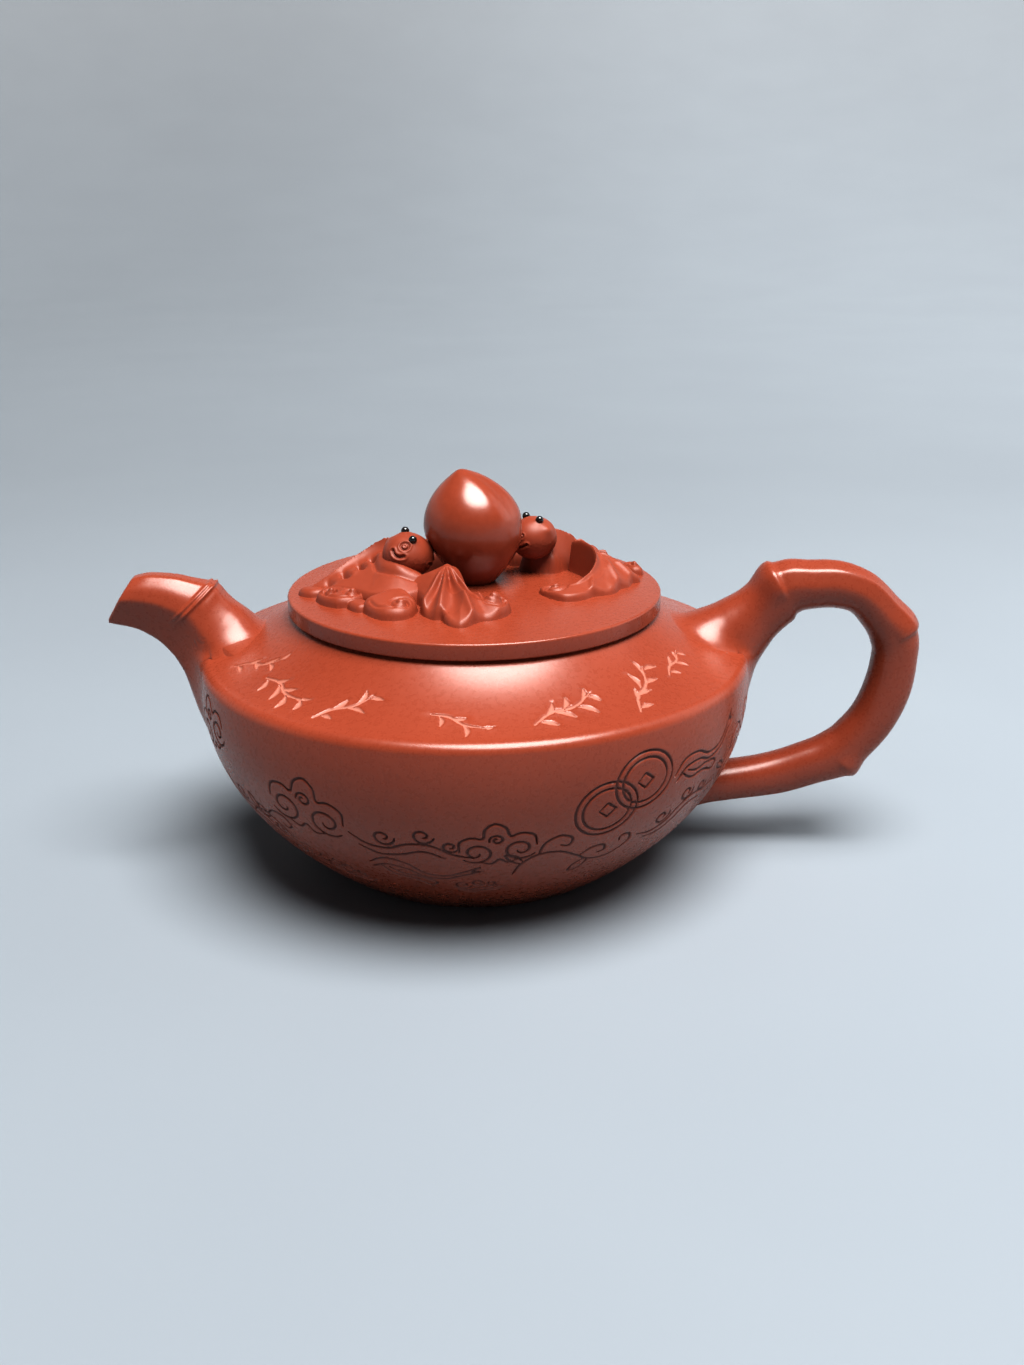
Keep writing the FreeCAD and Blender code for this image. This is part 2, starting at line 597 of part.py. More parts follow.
def head(label, hx, hy, hz, rad, cut_alias, eye_dirs):
    """Head: a ball with a flat neck face on the bat's back and two sockets,
    each holding a bead."""
    ball = doc.addObject("Part::Sphere", label + "_ball")
    ball.setExpression("Radius", "sizes.%s" % rad)
    ball.Placement = FreeCAD.Placement(V(C[hx], C[hy], C[hz]), FreeCAD.Rotation())
    for axis, alias in (("x", hx), ("y", hy), ("z", hz)):
        ball.setExpression("Placement.Base." + axis, "sizes.%s" % alias)
    under = doc.addObject("Part::Box", label + "_under")
    under.Length, under.Width, under.Height = 20, 20, 20
    under.Placement = FreeCAD.Placement(
        V(C[hx] - 10, C[hy] - 10, C["lid_top_height"] + C[cut_alias] - 20), FreeCAD.Rotation())
    under.setExpression("Placement.Base.z",
                        "sizes.lid_top_height + sizes.%s - 20" % cut_alias)
    neck = doc.addObject("Part::Cut", label + "_neck")
    neck.Base, neck.Tool = ball, under
    beads = []
    for i, d in enumerate(eye_dirs):
        bead = doc.addObject("Part::Sphere", "%s_bead_%s" % (label, letters(i)))
        bead.setExpression("Radius", "sizes.eye_radius")
        d = V(*d)
        d.normalize()
        c = V(C[hx], C[hy], C[hz]) + d * (C[rad] + 0.15)
        bead.Placement = FreeCAD.Placement(c, FreeCAD.Rotation())
        beads.append(bead)
    update(ball, under, neck, *beads)
    pair = doc.addObject("Part::Compound", label.replace("head", "eyes"))
    pair.Label = label.replace("head", "eyes")
    pair.Links = beads
    update(pair)
    out = doc.addObject("Part::Cut", label)
    out.Label = label
    out.Base, out.Tool = neck, pair
    update(out)
    assert out.Shape.Volume < neck.Shape.Volume < ball.Shape.Volume
    return out, pair


left_bat_head, left_bat_eyes = head(
    "left_bat_head", "left_head_x", "left_head_y", "left_head_height",
    "left_head_radius", "left_back_height", [(1.3, -2.7, 3.8), (-0.4, 1.0, 4.75)])
right_bat_head, right_bat_eyes = head(
    "right_bat_head", "right_head_x", "right_head_y", "right_head_height",
    "right_head_radius", "right_back_height", [(1.1, -1.9, 4.15), (-1.6, 1.26, 4.3)])

# ------------------------------------------------------------ check and write
PARTS = [base_plate, lower_bowl, shoulder_shell, mouth_ring, spout, spout_strainer, handle,
         lid_flange, lid_plate, peach_knob,
         left_bat_body, left_bat_head, left_bat_front_wing, left_bat_rear_wing,
         left_bat_cloud_lobes, left_bat_eyes,
         right_bat_body, right_bat_head, right_bat_front_wing, right_bat_rear_wing,
         right_bat_tail, right_bat_eyes]
doc.recompute()
for o in doc.Objects:
    if "Invalid" in o.State or "Error" in o.State:
        raise RuntimeError("failed object: %s %s" % (o.Name, o.State))
for p in PARTS:
    if p.Shape.isNull() or not p.Shape.isValid() or not p.Shape.Solids:
        raise RuntimeError("bad shape: " + p.Label)
os.makedirs("parts", exist_ok=True)
for p in PARTS:
    p.Shape.exportStep("parts/%s.step" % p.Label)
    bb = p.Shape.BoundBox
    print("%-24s solids %d  vol %8.1f mm3  x %.1f..%.1f y %.1f..%.1f z %.1f..%.1f" % (
        p.Label, len(p.Shape.Solids), p.Shape.Volume,
        bb.XMin, bb.XMax, bb.YMin, bb.YMax, bb.ZMin, bb.ZMax))
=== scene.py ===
"""Looks of the clay teapot: every visible piece as a fine mesh in the shared
frame, one burnished red clay with black bead eyes, a pale floor, soft light
and a camera.  Helper functions work in millimetres; meshes are in metres."""

import math

import bpy
import numpy as np
from mathutils import Matrix, Vector, kdtree
from mathutils.geometry import delaunay_2d_cdt


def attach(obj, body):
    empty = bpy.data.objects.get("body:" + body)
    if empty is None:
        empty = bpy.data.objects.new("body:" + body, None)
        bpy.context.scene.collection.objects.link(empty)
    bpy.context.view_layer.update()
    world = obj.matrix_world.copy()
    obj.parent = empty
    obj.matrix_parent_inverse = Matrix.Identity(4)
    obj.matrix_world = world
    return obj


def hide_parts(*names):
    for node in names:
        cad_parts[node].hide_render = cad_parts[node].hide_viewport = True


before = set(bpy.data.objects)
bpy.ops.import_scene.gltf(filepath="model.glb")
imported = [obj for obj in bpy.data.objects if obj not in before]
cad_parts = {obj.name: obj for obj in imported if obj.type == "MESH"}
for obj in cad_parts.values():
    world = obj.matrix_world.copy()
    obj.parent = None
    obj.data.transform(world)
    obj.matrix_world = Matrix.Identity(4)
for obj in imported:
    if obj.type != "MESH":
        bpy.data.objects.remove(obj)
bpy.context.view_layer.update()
scene = bpy.context.scene
MM = 0.001
PI = math.pi


# ------------------------------------------------------------------ numbers
def pchip(x, y, xi):
    """Shape-keeping cubic through (x, y), which never overshoots."""
    x, y, xi = np.asarray(x, float), np.asarray(y, float), np.asarray(xi, float)
    if y.ndim == 1:
        return pchip(x, y[:, None], xi)[:, 0]
    h = np.diff(x)[:, None]
    d = np.diff(y, axis=0) / h
    m = np.zeros_like(y)
    same = d[:-1] * d[1:] > 0
    w1, w2 = 2 * h[1:] + h[:-1], h[1:] + 2 * h[:-1]
    safe0 = np.where(same, d[:-1], 1.0)
    safe1 = np.where(same, d[1:], 1.0)
    m[1:-1] = np.where(same, (w1 + w2) / (w1 / safe0 + w2 / safe1), 0.0)
    m[0], m[-1] = d[0], d[-1]
    k = np.clip(np.searchsorted(x, xi) - 1, 0, len(x) - 2)
    hk = h[k]
    t = np.clip((xi - x[k]) / hk[:, 0], 0, 1)[:, None]
    return ((1 + 2 * t) * (1 - t) ** 2 * y[k] + t * (1 - t) ** 2 * hk * m[k]
            + t * t * (3 - 2 * t) * y[k + 1] + t * t * (t - 1) * hk * m[k + 1])


def flow(x, y, xi):
    """Smooth cubic through (x, y) that follows the neighbours' direction."""
    x, y, xi = np.asarray(x, float), np.asarray(y, float), np.asarray(xi, float)
    if y.ndim == 1:
        return flow(x, y[:, None], xi)[:, 0]
    h = np.diff(x)[:, None]
    d = np.diff(y, axis=0) / h
    m = np.zeros_like(y)
    m[1:-1] = (d[:-1] * h[1:] + d[1:] * h[:-1]) / (h[1:] + h[:-1])
    m[0], m[-1] = d[0], d[-1]
    k = np.clip(np.searchsorted(x, xi) - 1, 0, len(x) - 2)
    hk = h[k]
    t = np.clip((xi - x[k]) / hk[:, 0], 0, 1)[:, None]
    return ((1 + 2 * t) * (1 - t) ** 2 * y[k] + t * (1 - t) ** 2 * hk * m[k]
            + t * t * (3 - 2 * t) * y[k + 1] + t * t * (t - 1) * hk * m[k + 1])


def through(pts, step):
    """Points about every step along a smooth line through pts."""
    p = np.asarray(pts, float)
    s = np.r_[0, np.cumsum(np.linalg.norm(np.diff(p, axis=0), axis=1))]
    n = max(2, int(round(s[-1] / step)) + 1)
    return flow(s, p, np.linspace(0, s[-1], n))


def ring(pts, step=0.4):
    """The same for a closed line; the first point isn't repeated."""
    p = np.asarray(pts, float)
    p = np.vstack([p[-3:], p, p[:3]])
    s = np.r_[0, np.cumsum(np.linalg.norm(np.diff(p, axis=0), axis=1))]
    a, b = s[3], s[-3]
    n = max(8, int(round((b - a) / step)))
    return flow(s, p, np.linspace(a, b, n, endpoint=False))


def resample(pts, step):
    p = np.asarray(pts, float)
    s = np.r_[0, np.cumsum(np.linalg.norm(np.diff(p, axis=0), axis=1))]
    keep = np.r_[True, np.diff(s) > 1e-9]
    p, s = p[keep], s[keep]
    n = max(2, int(round(s[-1] / step)) + 1)
    t = np.linspace(0, s[-1], n)
    return np.stack([np.interp(t, s, p[:, i]) for i in range(p.shape[1])], -1)


def smooth(a, b, x):
    t = np.clip((x - a) / (b - a), 0, 1)
    return t * t * (3 - 2 * t)


def smax(a, b, k):
    h = np.clip(k - np.abs(a - b), 0, None)
    return np.maximum(a, b) + h * h / (4 * k)


def smin(a, b, k):
    return -smax(-a, -b, k)


def bell(d, w):
    return np.exp(-(d / w) ** 2)


def arc3(p, m, q, n):
    """n+1 points on the arc from p through m to q."""
    (ax, ay), (bx, by), (cx, cy) = p, m, q
    d = 2 * (ax * (by - cy) + bx * (cy - ay) + cx * (ay - by))
    ux = ((ax * ax + ay * ay) * (by - cy) + (bx * bx + by * by) * (cy - ay) + (cx * cx + cy * cy) * (ay - by)) / d
    uy = ((ax * ax + ay * ay) * (cx - bx) + (bx * bx + by * by) * (ax - cx) + (cx * cx + cy * cy) * (bx - ax)) / d
    r = math.hypot(ax - ux, ay - uy)
    a0, a1 = math.atan2(ay - uy, ax - ux), math.atan2(cy - uy, cx - ux)
    am = math.atan2(by - uy, bx - ux)
    up = (a1 - a0) % (2 * PI)
    if (am - a0) % (2 * PI) > up:
        up -= 2 * PI
    t = a0 + up * np.linspace(0, 1, n + 1)
    return np.stack([ux + r * np.cos(t), uy + r * np.sin(t)], -1)


def soften(pts, radii, n=5):
    """Open or closed corner list with each corner rounded by its radius."""
    p = np.asarray(pts, float)
    out = []
    for i in range(len(p)):
        r = radii[i]
        if r <= 0:
            out.append(p[i])
            continue
        a, b, c = p[i - 1], p[i], p[(i + 1) % len(p)]
        u, v = (a - b) / np.linalg.norm(a - b), (c - b) / np.linalg.norm(c - b)
        half = math.acos(max(-1, min(1, float(u @ v)))) / 2
        d = min(r / math.tan(half), 0.49 * np.linalg.norm(a - b), 0.49 * np.linalg.norm(c - b))
        r = d * math.tan(half)
        w = (u + v) / np.linalg.norm(u + v)
        centre = b + w * (r / math.sin(half))
        s, e = b + u * d, b + v * d
        mid = centre - w * r
        out.extend(arc3(s, mid, e, n))
    return np.array(out)


# ------------------------------------------------------------------- meshes
def tri_grid(nu, nv, wrap_u=False, wrap_v=False):
    iu = np.arange(nu if wrap_u else nu - 1)
    jv = np.arange(nv if wrap_v else nv - 1)
    i, j = np.meshgrid(iu, jv, indexing="ij")
    a, b = i * nv + j, ((i + 1) % nu) * nv + j
    c, d = ((i + 1) % nu) * nv + (j + 1) % nv, i * nv + (j + 1) % nv
    return np.concatenate([np.stack([a, b, c], -1).reshape(-1, 3),
                           np.stack([a, c, d], -1).reshape(-1, 3)])


def weld(v, t, extra=None, tol=2e-4):
    key = np.round(v / tol).astype(np.int64)
    _, first, inv = np.unique(key, axis=0, return_index=True, return_inverse=True)
    t = inv.ravel()[t]
    good = (t[:, 0] != t[:, 1]) & (t[:, 1] != t[:, 2]) & (t[:, 2] != t[:, 0])
    v, t = v[first], t[good]
    if extra is None:
        return v, t
    return v, t, {k: a[first] for k, a in extra.items()}


def outwards(v, t):
    a, b, c = v[t[:, 0]], v[t[:, 1]], v[t[:, 2]]
    return t if np.einsum("ij,ij->i", a, np.cross(b, c)).sum() > 0 else t[:, ::-1]


def mesh_of(name, v, t):
    me = bpy.data.meshes.new(name)
    v = (np.asarray(v, float) * MM).astype(np.float32)
    t = np.asarray(t, np.int32)
    me.vertices.add(len(v))
    me.vertices.foreach_set("co", v.ravel())
    me.loops.add(t.size)
    me.loops.foreach_set("vertex_index", t.ravel())
    me.polygons.add(len(t))
    me.polygons.foreach_set("loop_start", (np.arange(len(t)) * 3).astype(np.int32))
    me.update(calc_edges=True)
    me.validate()
    return me


def piece(name, v, t, body, nodes, mat, attrs=None, sharp=55, flip=True, crisp=None):
    if flip:
        t = outwards(v, t)
    me = mesh_of(name, v, t)
    for k, a in (attrs or {}).items():
        at = me.attributes.new(k, "FLOAT", "POINT")
        at.data.foreach_set("value", np.asarray(a, np.float32))
    me.materials.append(mat)
    me.shade_smooth()
    if sharp:
        me.set_sharp_from_angle(angle=math.radians(sharp))
    if crisp is not None:
        # edges along one turned ring (r, z) stay crisp
        on = (np.abs(np.hypot(v[:, 0], v[:, 1]) - crisp[0]) < 0.02) & (np.abs(v[:, 2] - crisp[1]) < 0.02)
        ev = np.zeros(len(me.edges) * 2, np.int32)
        me.edges.foreach_get("vertices", ev)
        ev = ev.reshape(-1, 2)
        old = np.zeros(len(ev), bool)
        at = me.attributes.get("sharp_edge") or me.attributes.new("sharp_edge", "BOOLEAN", "EDGE")
        at.data.foreach_get("value", old)
        at.data.foreach_set("value", old | (on[ev[:, 0]] & on[ev[:, 1]]))
    ob = bpy.data.objects.new(name, me)
    scene.collection.objects.link(ob)
    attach(ob, body)
    if nodes:
        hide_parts(*nodes)
    return ob


def revolve(profile, n=288):
    """Closed profile of (r, z) turned round Z; points at r = 0 close up."""
    p = np.asarray(profile, float)
    ph = PI + np.arange(n) * (2 * PI / n)
    v = np.stack([p[None, :, 0] * np.sin(ph)[:, None], -p[None, :, 0] * np.cos(ph)[:, None],
                  np.broadcast_to(p[None, :, 1], (n, len(p)))], -1).reshape(-1, 3)
    return weld(v, tri_grid(n, len(p), True, True))


def bore(ob, centre, axis, radius, length, seg=64):
    """Cuts a round hole through a piece."""
    t = np.arange(seg) * 2 * PI / seg
    ax = Vector(axis).normalized()
    q = Vector((0, 0, 1)).rotation_difference(ax).to_matrix()
    q = np.array(q)
    circle = np.stack([radius * np.cos(t), radius * np.sin(t), 0 * t], -1)
    v = np.vstack([circle + [0, 0, -length / 2], circle + [0, 0, length / 2],
                   [[0, 0, -length / 2], [0, 0, length / 2]]]) @ q.T + np.array(centre)
    i = np.arange(seg)
    j = (i + 1) % seg
    tr = np.concatenate([np.stack([i, j, j + seg], -1), np.stack([i, j + seg, i + seg], -1),
                         np.stack([j, i, 0 * i + 2 * seg], -1), np.stack([i + seg, j + seg, 0 * i + 2 * seg + 1], -1)])
    me = mesh_of("bore_tool", v, outwards(v, tr))
    tool = bpy.data.objects.new("bore_tool", me)
    scene.collection.objects.link(tool)
    m = ob.modifiers.new("bore", "BOOLEAN")
    m.operation, m.solver, m.object = "DIFFERENCE", "EXACT", tool
    dg = bpy.context.evaluated_depsgraph_get()
    new = bpy.data.meshes.new_from_object(ob.evaluated_get(dg))
    ob.modifiers.clear()
    old = ob.data
    ob.data = new
    new.name = ob.name
    bpy.data.meshes.remove(old)
    bpy.data.objects.remove(tool)
    bpy.data.meshes.remove(me)


# ---------------------------------------------------------------- materials
def node(nt, kind, **sockets):
    n = nt.nodes.new(kind)
    for k, val in sockets.items():
        k = k.replace("_", " ")
        if k in n.inputs:
            n.inputs[k].default_value = val
    return n


def clay_material(name="red_clay_burnished", rough=(0.23, 0.33), shine=0.5):
    """Burnished red stoneware: fine sand grain, soft mottling, satin shine,
    darkened by painted shade and rougher in thin cuts, pale and dry in the broad cuts."""
    mat = bpy.data.materials.new(name)
    mat.use_nodes = True
    nt = mat.node_tree
    lk = nt.links.new
    bs = nt.nodes["Principled BSDF"]
    co = nt.nodes.new("ShaderNodeTexCoord")
    big = node(nt, "ShaderNodeTexNoise", Scale=38.0, Detail=3.0, Roughness=0.55)
    mid = node(nt, "ShaderNodeTexNoise", Scale=900.0, Detail=3.0, Roughness=0.6)
    fine = node(nt, "ShaderNodeTexNoise", Scale=2600.0, Detail=2.0, Roughness=0.6)
    sand = node(nt, "ShaderNodeTexVoronoi", Scale=1500.0)
    for n in (big, mid, fine, sand):
        lk(co.outputs["Object"], n.inputs["Vector"])
    tone = nt.nodes.new("ShaderNodeValToRGB")
    e = tone.color_ramp.elements
    e[0].position, e[0].color = 0.25, (0.220, 0.0450, 0.0208, 1)
    e[1].position, e[1].color = 0.75, (0.254, 0.0555, 0.0266, 1)
    lk(big.outputs["Fac"], tone.inputs["Fac"])
    grain = nt.nodes.new("ShaderNodeMix")
    grain.data_type, grain.blend_type = "RGBA", "MULTIPLY"
    grain.inputs["Factor"].default_value = 1.0
    gr = nt.nodes.new("ShaderNodeValToRGB")
    e = gr.color_ramp.elements
    e[0].position, e[0].color = 0.33, (0.97, 0.965, 0.965, 1)
    e[1].position, e[1].color = 0.66, (1.03, 1.035, 1.035, 1)
    lk(mid.outputs["Fac"], gr.inputs["Fac"])
    lk(tone.outputs["Color"], grain.inputs[6])
    lk(gr.outputs["Color"], grain.inputs[7])
    speck = nt.nodes.new("ShaderNodeValToRGB")
    e = speck.color_ramp.elements
    e[0].position, e[0].color = 0.035, (1, 1, 1, 1)
    e[1].position, e[1].color = 0.10, (0, 0, 0, 1)
    lk(sand.outputs["Distance"], speck.inputs["Fac"])
    dots = nt.nodes.new("ShaderNodeMix")
    dots.data_type = "RGBA"
    dots.inputs[7].default_value = (0.36, 0.075, 0.034, 1)
    few = node(nt, "ShaderNodeMath")
    few.operation = "MULTIPLY"
    few.inputs[1].default_value = 0.28
    lk(speck.outputs["Color"], few.inputs[0])
    lk(few.outputs[0], dots.inputs["Factor"])
    lk(grain.outputs[2], dots.inputs[6])
    # painted shade: the thin cuts' colour is mixed towards the dark red set below
    dark = nt.nodes.new("ShaderNodeAttribute")
    dark.attribute_name = "cut_painted_shade"
    pale = nt.nodes.new("ShaderNodeAttribute")
    pale.attribute_name = "cut_pale"
    mix1 = nt.nodes.new("ShaderNodeMix")
    mix1.data_type = "RGBA"
    mix1.inputs[7].default_value = (0.060, 0.0125, 0.0090, 1)
    lk(dark.outputs["Fac"], mix1.inputs["Factor"])
    lk(dots.outputs[2], mix1.inputs[6])
    mix2 = nt.nodes.new("ShaderNodeMix")
    mix2.data_type = "RGBA"
    mix2.inputs[7].default_value = (0.34, 0.130, 0.090, 1)
    lk(pale.outputs["Fac"], mix2.inputs["Factor"])
    lk(mix1.outputs[2], mix2.inputs[6])
    lk(mix2.outputs[2], bs.inputs["Base Color"])
    rr = nt.nodes.new("ShaderNodeMapRange")
    rr.inputs["To Min"].default_value, rr.inputs["To Max"].default_value = rough
    lk(mid.outputs["Fac"], rr.inputs["Value"])
    dry = node(nt, "ShaderNodeMath")
    dry.operation = "MULTIPLY_ADD"
    dry.inputs[1].default_value = 0.36
    lk(pale.outputs["Fac"], dry.inputs[0])
    lk(rr.outputs["Result"], dry.inputs[2])
    dry2 = node(nt, "ShaderNodeMath")
    dry2.operation = "MULTIPLY_ADD"
    dry2.inputs[1].default_value = 0.30
    lk(dark.outputs["Fac"], dry2.inputs[0])
    lk(dry.outputs[0], dry2.inputs[2])
    lk(dry2.outputs[0], bs.inputs["Roughness"])
    b1 = node(nt, "ShaderNodeBump", Strength=0.08, Distance=0.00010)
    b2 = node(nt, "ShaderNodeBump", Strength=0.04, Distance=0.00020)
    lk(fine.outputs["Fac"], b1.inputs["Height"])
    lk(mid.outputs["Fac"], b2.inputs["Height"])
    lk(b1.outputs["Normal"], b2.inputs["Normal"])
    lk(b2.outputs["Normal"], bs.inputs["Normal"])
    bs.inputs["IOR"].default_value = 1.52
    bs.inputs["Specular IOR Level"].default_value = shine
    return mat


def bead_material():
    """Glossy black glaze with a hint of brown where it thins."""
    mat = bpy.data.materials.new("black_bead_glaze")
    mat.use_nodes = True
    nt = mat.node_tree
    bs = nt.nodes["Principled BSDF"]
    co = nt.nodes.new("ShaderNodeTexCoord")
    n = node(nt, "ShaderNodeTexNoise", Scale=1400.0, Detail=2.0)
    nt.links.new(co.outputs["Object"], n.inputs["Vector"])
    ramp = nt.nodes.new("ShaderNodeValToRGB")
    e = ramp.color_ramp.elements
    e[0].position, e[0].color = 0.35, (0.004, 0.004, 0.005, 1)
    e[1].position, e[1].color = 0.75, (0.016, 0.012, 0.010, 1)
    nt.links.new(n.outputs["Fac"], ramp.inputs["Fac"])
    nt.links.new(ramp.outputs["Color"], bs.inputs["Base Color"])
    rr = nt.nodes.new("ShaderNodeMapRange")
    rr.inputs["To Min"].default_value, rr.inputs["To Max"].default_value = 0.06, 0.16
    nt.links.new(n.outputs["Fac"], rr.inputs["Value"])
    nt.links.new(rr.outputs["Result"], bs.inputs["Roughness"])
    bs.inputs["Coat Weight"].default_value = 0.5
    bs.inputs["Coat Roughness"].default_value = 0.05
    return mat


CLAY = clay_material()
# the knob is rubbed brighter than the pot, the modelled relief less
POLISHED = clay_material("red_clay_polished", (0.21, 0.28), 0.60)
MODELLED = clay_material("red_clay_modelled", (0.38, 0.48), 0.36)
BEAD = bead_material()

# ------------------------------------------------- outside of the pot, (r, z)
tt = np.linspace(0, 1, 400)[:, None]
P0, P1, P2, P3 = map(np.array, ((32, 0), (47.03, 10.73), (60.14, 24.61), (57.5, 44.89)))
bez = (1 - tt) ** 3 * P0 + 3 * tt * (1 - tt) ** 2 * P1 + 3 * tt ** 2 * (1 - tt) * P2 + tt ** 3 * P3


def at_height(curve, z):
    return np.array([np.interp(z, curve[:, 1], curve[:, 0]), z])


FOOT_Z, KEEL_Z, NECK_Z = 3.2, 43.9, 52.6
low = bez[bez[:, 1] < FOOT_Z]
wall = bez[(bez[:, 1] > FOOT_Z) & (bez[:, 1] < KEEL_Z)]
foot_pt, keel_pt = at_height(bez, FOOT_Z), at_height(bez, KEEL_Z)
keel = arc3(keel_pt, (57.05, 45.3), (55.36, 46.13), 24)
S0, S1, S2 = map(np.array, ((56.5, 45.8), (45.0, 49.1), (38.0, 54.9)))
slope = (1 - tt) ** 2 * S0 + 2 * tt * (1 - tt) * S1 + tt ** 2 * S2
slope = slope[slope[:, 0] < 55.2]
neck_pt = np.array([np.interp(NECK_Z, slope[:, 1], slope[:, 0]), NECK_Z])
shoulder = slope[slope[:, 1] < NECK_Z]
neck = slope[slope[:, 1] > NECK_Z]
OUT = np.vstack([low, [foot_pt], wall, keel, shoulder, [neck_pt], neck])


def pot_distance(p):
    """Distance from the pot's outside (+ out), and the outward normal and
    foot there, for 3-D points."""
    r, z = np.hypot(p[:, 0], p[:, 1]), p[:, 2]
    q = np.stack([r, z], -1)
    a, b = OUT[:-1], OUT[1:]
    ab = b - a
    best = np.full(len(q), 1e9)
    foot = np.zeros_like(q)
    nrm = np.zeros_like(q)
    n2 = np.stack([ab[:, 1], -ab[:, 0]], -1)
    n2 /= np.linalg.norm(n2, axis=1)[:, None]
    vn = np.vstack([n2[:1], n2[:-1] + n2[1:], n2[-1:]])
    vn /= np.linalg.norm(vn, axis=1)[:, None]
    for k in range(0, len(q), 4000):
        s = q[k:k + 4000]
        t = np.clip(((s[:, None] - a) * ab).sum(-1) / (ab * ab).sum(-1), 0, 1)
        f = a + t[..., None] * ab
        d = np.linalg.norm(s[:, None] - f, axis=-1)
        i = d.argmin(1)
        m = np.arange(len(s))
        best[k:k + 4000] = d[m, i]
        foot[k:k + 4000] = f[m, i]
        w = t[m, i][:, None]
        nrm[k:k + 4000] = vn[i] * (1 - w) + vn[i + 1] * w
    nrm /= np.linalg.norm(nrm, axis=1)[:, None]
    sign = np.sign(((q - foot) * nrm).sum(-1))
    ux, uy = p[:, 0] / np.maximum(r, 1e-9), p[:, 1] / np.maximum(r, 1e-9)

    def lift(c):
        return np.stack([c[:, 0] * ux, c[:, 0] * uy, c[:, 1]], -1)
    return best * sign, lift(nrm), lift(foot)


def graft(p, k, sink=0.06):
    """Bends points that reach the pot's wall into a tangent skirt on it."""
    d, n, f = pot_distance(p)
    h = np.where(d > k, d, np.where(d < -k, 0.0, (d + k) ** 2 / (4 * k)))
    h = h - sink * smooth(0.15 * k, -0.95 * k, d)
    return np.where((d > k)[:, None], p, f + n * h[:, None]), d


# ------------------------------------------------------ carved turned walls
class Skin:
    """A turned outer wall unrolled to (u, v): u runs round, v up the wall."""

    def __init__(self, curve, radius):
        self.c = curve
        self.s = np.r_[0, np.cumsum(np.linalg.norm(np.diff(curve, axis=0), axis=1))]
        t = np.gradient(curve, self.s, axis=0)
        t /= np.linalg.norm(t, axis=1)[:, None]
        self.n = np.stack([t[:, 1], -t[:, 0]], -1)
        self.R = radius
        self.L = self.s[-1]

    def point(self, u, v, depth):
        r, z, nr, nz = (np.interp(v, self.s, a) for a in
                        (self.c[:, 0], self.c[:, 1], self.n[:, 0], self.n[:, 1]))
        r, z = r - nr * depth, z - nz * depth
        ph = u / self.R
        return np.stack([r * np.sin(ph), -r * np.cos(ph), z], -1)


def carve(skin, rows, cols, strokes, step, burr):
    """Triangles of a wall with grooves: strokes are (points, half width,
    depth) in the unrolled plane.  Returns vertices, triangles, cut depth."""
    half = PI * skin.R
    us = np.linspace(-half, half, cols + 1)
    tree_pts, tree_w, tree_d, near = [], [], [], []
    for pts, w, d in strokes:
        c = resample(pts, step)
        g = np.gradient(c, axis=0)
        g /= np.maximum(np.linalg.norm(g, axis=1)[:, None], 1e-9)
        n = np.stack([-g[:, 1], g[:, 0]], -1)
        wa = np.interp(np.linspace(0, 1, len(c)), np.linspace(0, 1, len(w)), w)[:, None]
        for o in (0.0, 0.6, -0.6, 1.0, -1.0):
            near.append(c + n * wa * o)
        for o in (0.13, 0.5):
            near.append(c + n * (wa + o))
            near.append(c - n * (wa + o))
        near.append(c[:1] - g[:1] * (wa[:1] + 0.05))
        near.append(c[-1:] + g[-1:] * (wa[-1:] + 0.05))
        dense = resample(np.hstack([c, wa]), 0.1)
        tree_pts.append(dense[:, :2])
        tree_w.append(dense[:, 2])
        tree_d.append(np.full(len(dense), d))
    m, q = np.meshgrid(us, rows, indexing="ij")
    grid = np.stack([m.ravel(), q.ravel()], -1)
    edge = (np.abs(np.abs(grid[:, 0]) - half) < 1e-6) | (grid[:, 1] < 1e-6) | (grid[:, 1] > skin.L - 1e-6)
    if strokes:
        tp, tw, td = np.vstack(tree_pts), np.concatenate(tree_w), np.concatenate(tree_d)
        kd = kdtree.KDTree(len(tp))
        for i, p in enumerate(tp):
            kd.insert((p[0], p[1], 0), i)
        kd.balance()
        pts = np.vstack(near)
        ok = (np.abs(pts[:, 0]) < half - 0.3) & (pts[:, 1] > 0.25) & (pts[:, 1] < skin.L - 0.25)
        pts = pts[ok]
        _, first = np.unique(np.round(pts / 0.07).astype(np.int64), axis=0, return_index=True)
        pts = pts[np.sort(first)]
        far = np.ones(len(grid), bool)
        for i, p in enumerate(grid):
            if not edge[i]:
                _, j, d = kd.find((p[0], p[1], 0))
                far[i] = d > tw[j] + 0.8
        uv = np.vstack([grid[far], pts])
    else:
        uv = grid
    out = delaunay_2d_cdt([Vector(p) for p in uv.tolist()], [], [], 0, 1e-6)
    uv = np.array([tuple(p) for p in out[0]])
    t = np.array(out[2])
    depth, cut = np.zeros(len(uv)), np.zeros(len(uv))
    if strokes:
        for i, p in enumerate(uv):
            _, j, d = kd.find((p[0], p[1], 0))
            w = tw[j]
            if d < w:
                k = (1 - (d / w) ** 2) ** 0.75
                depth[i] = td[j] * k
                cut[i] = min(1.0, k * 1.6)
            elif d < w + 0.5:
                depth[i] = -burr * math.sin(PI * min(1.0, (d - w) / 0.34)) if d < w + 0.34 else 0.0
    return skin.point(uv[:, 0], uv[:, 1], depth), t, cut, us


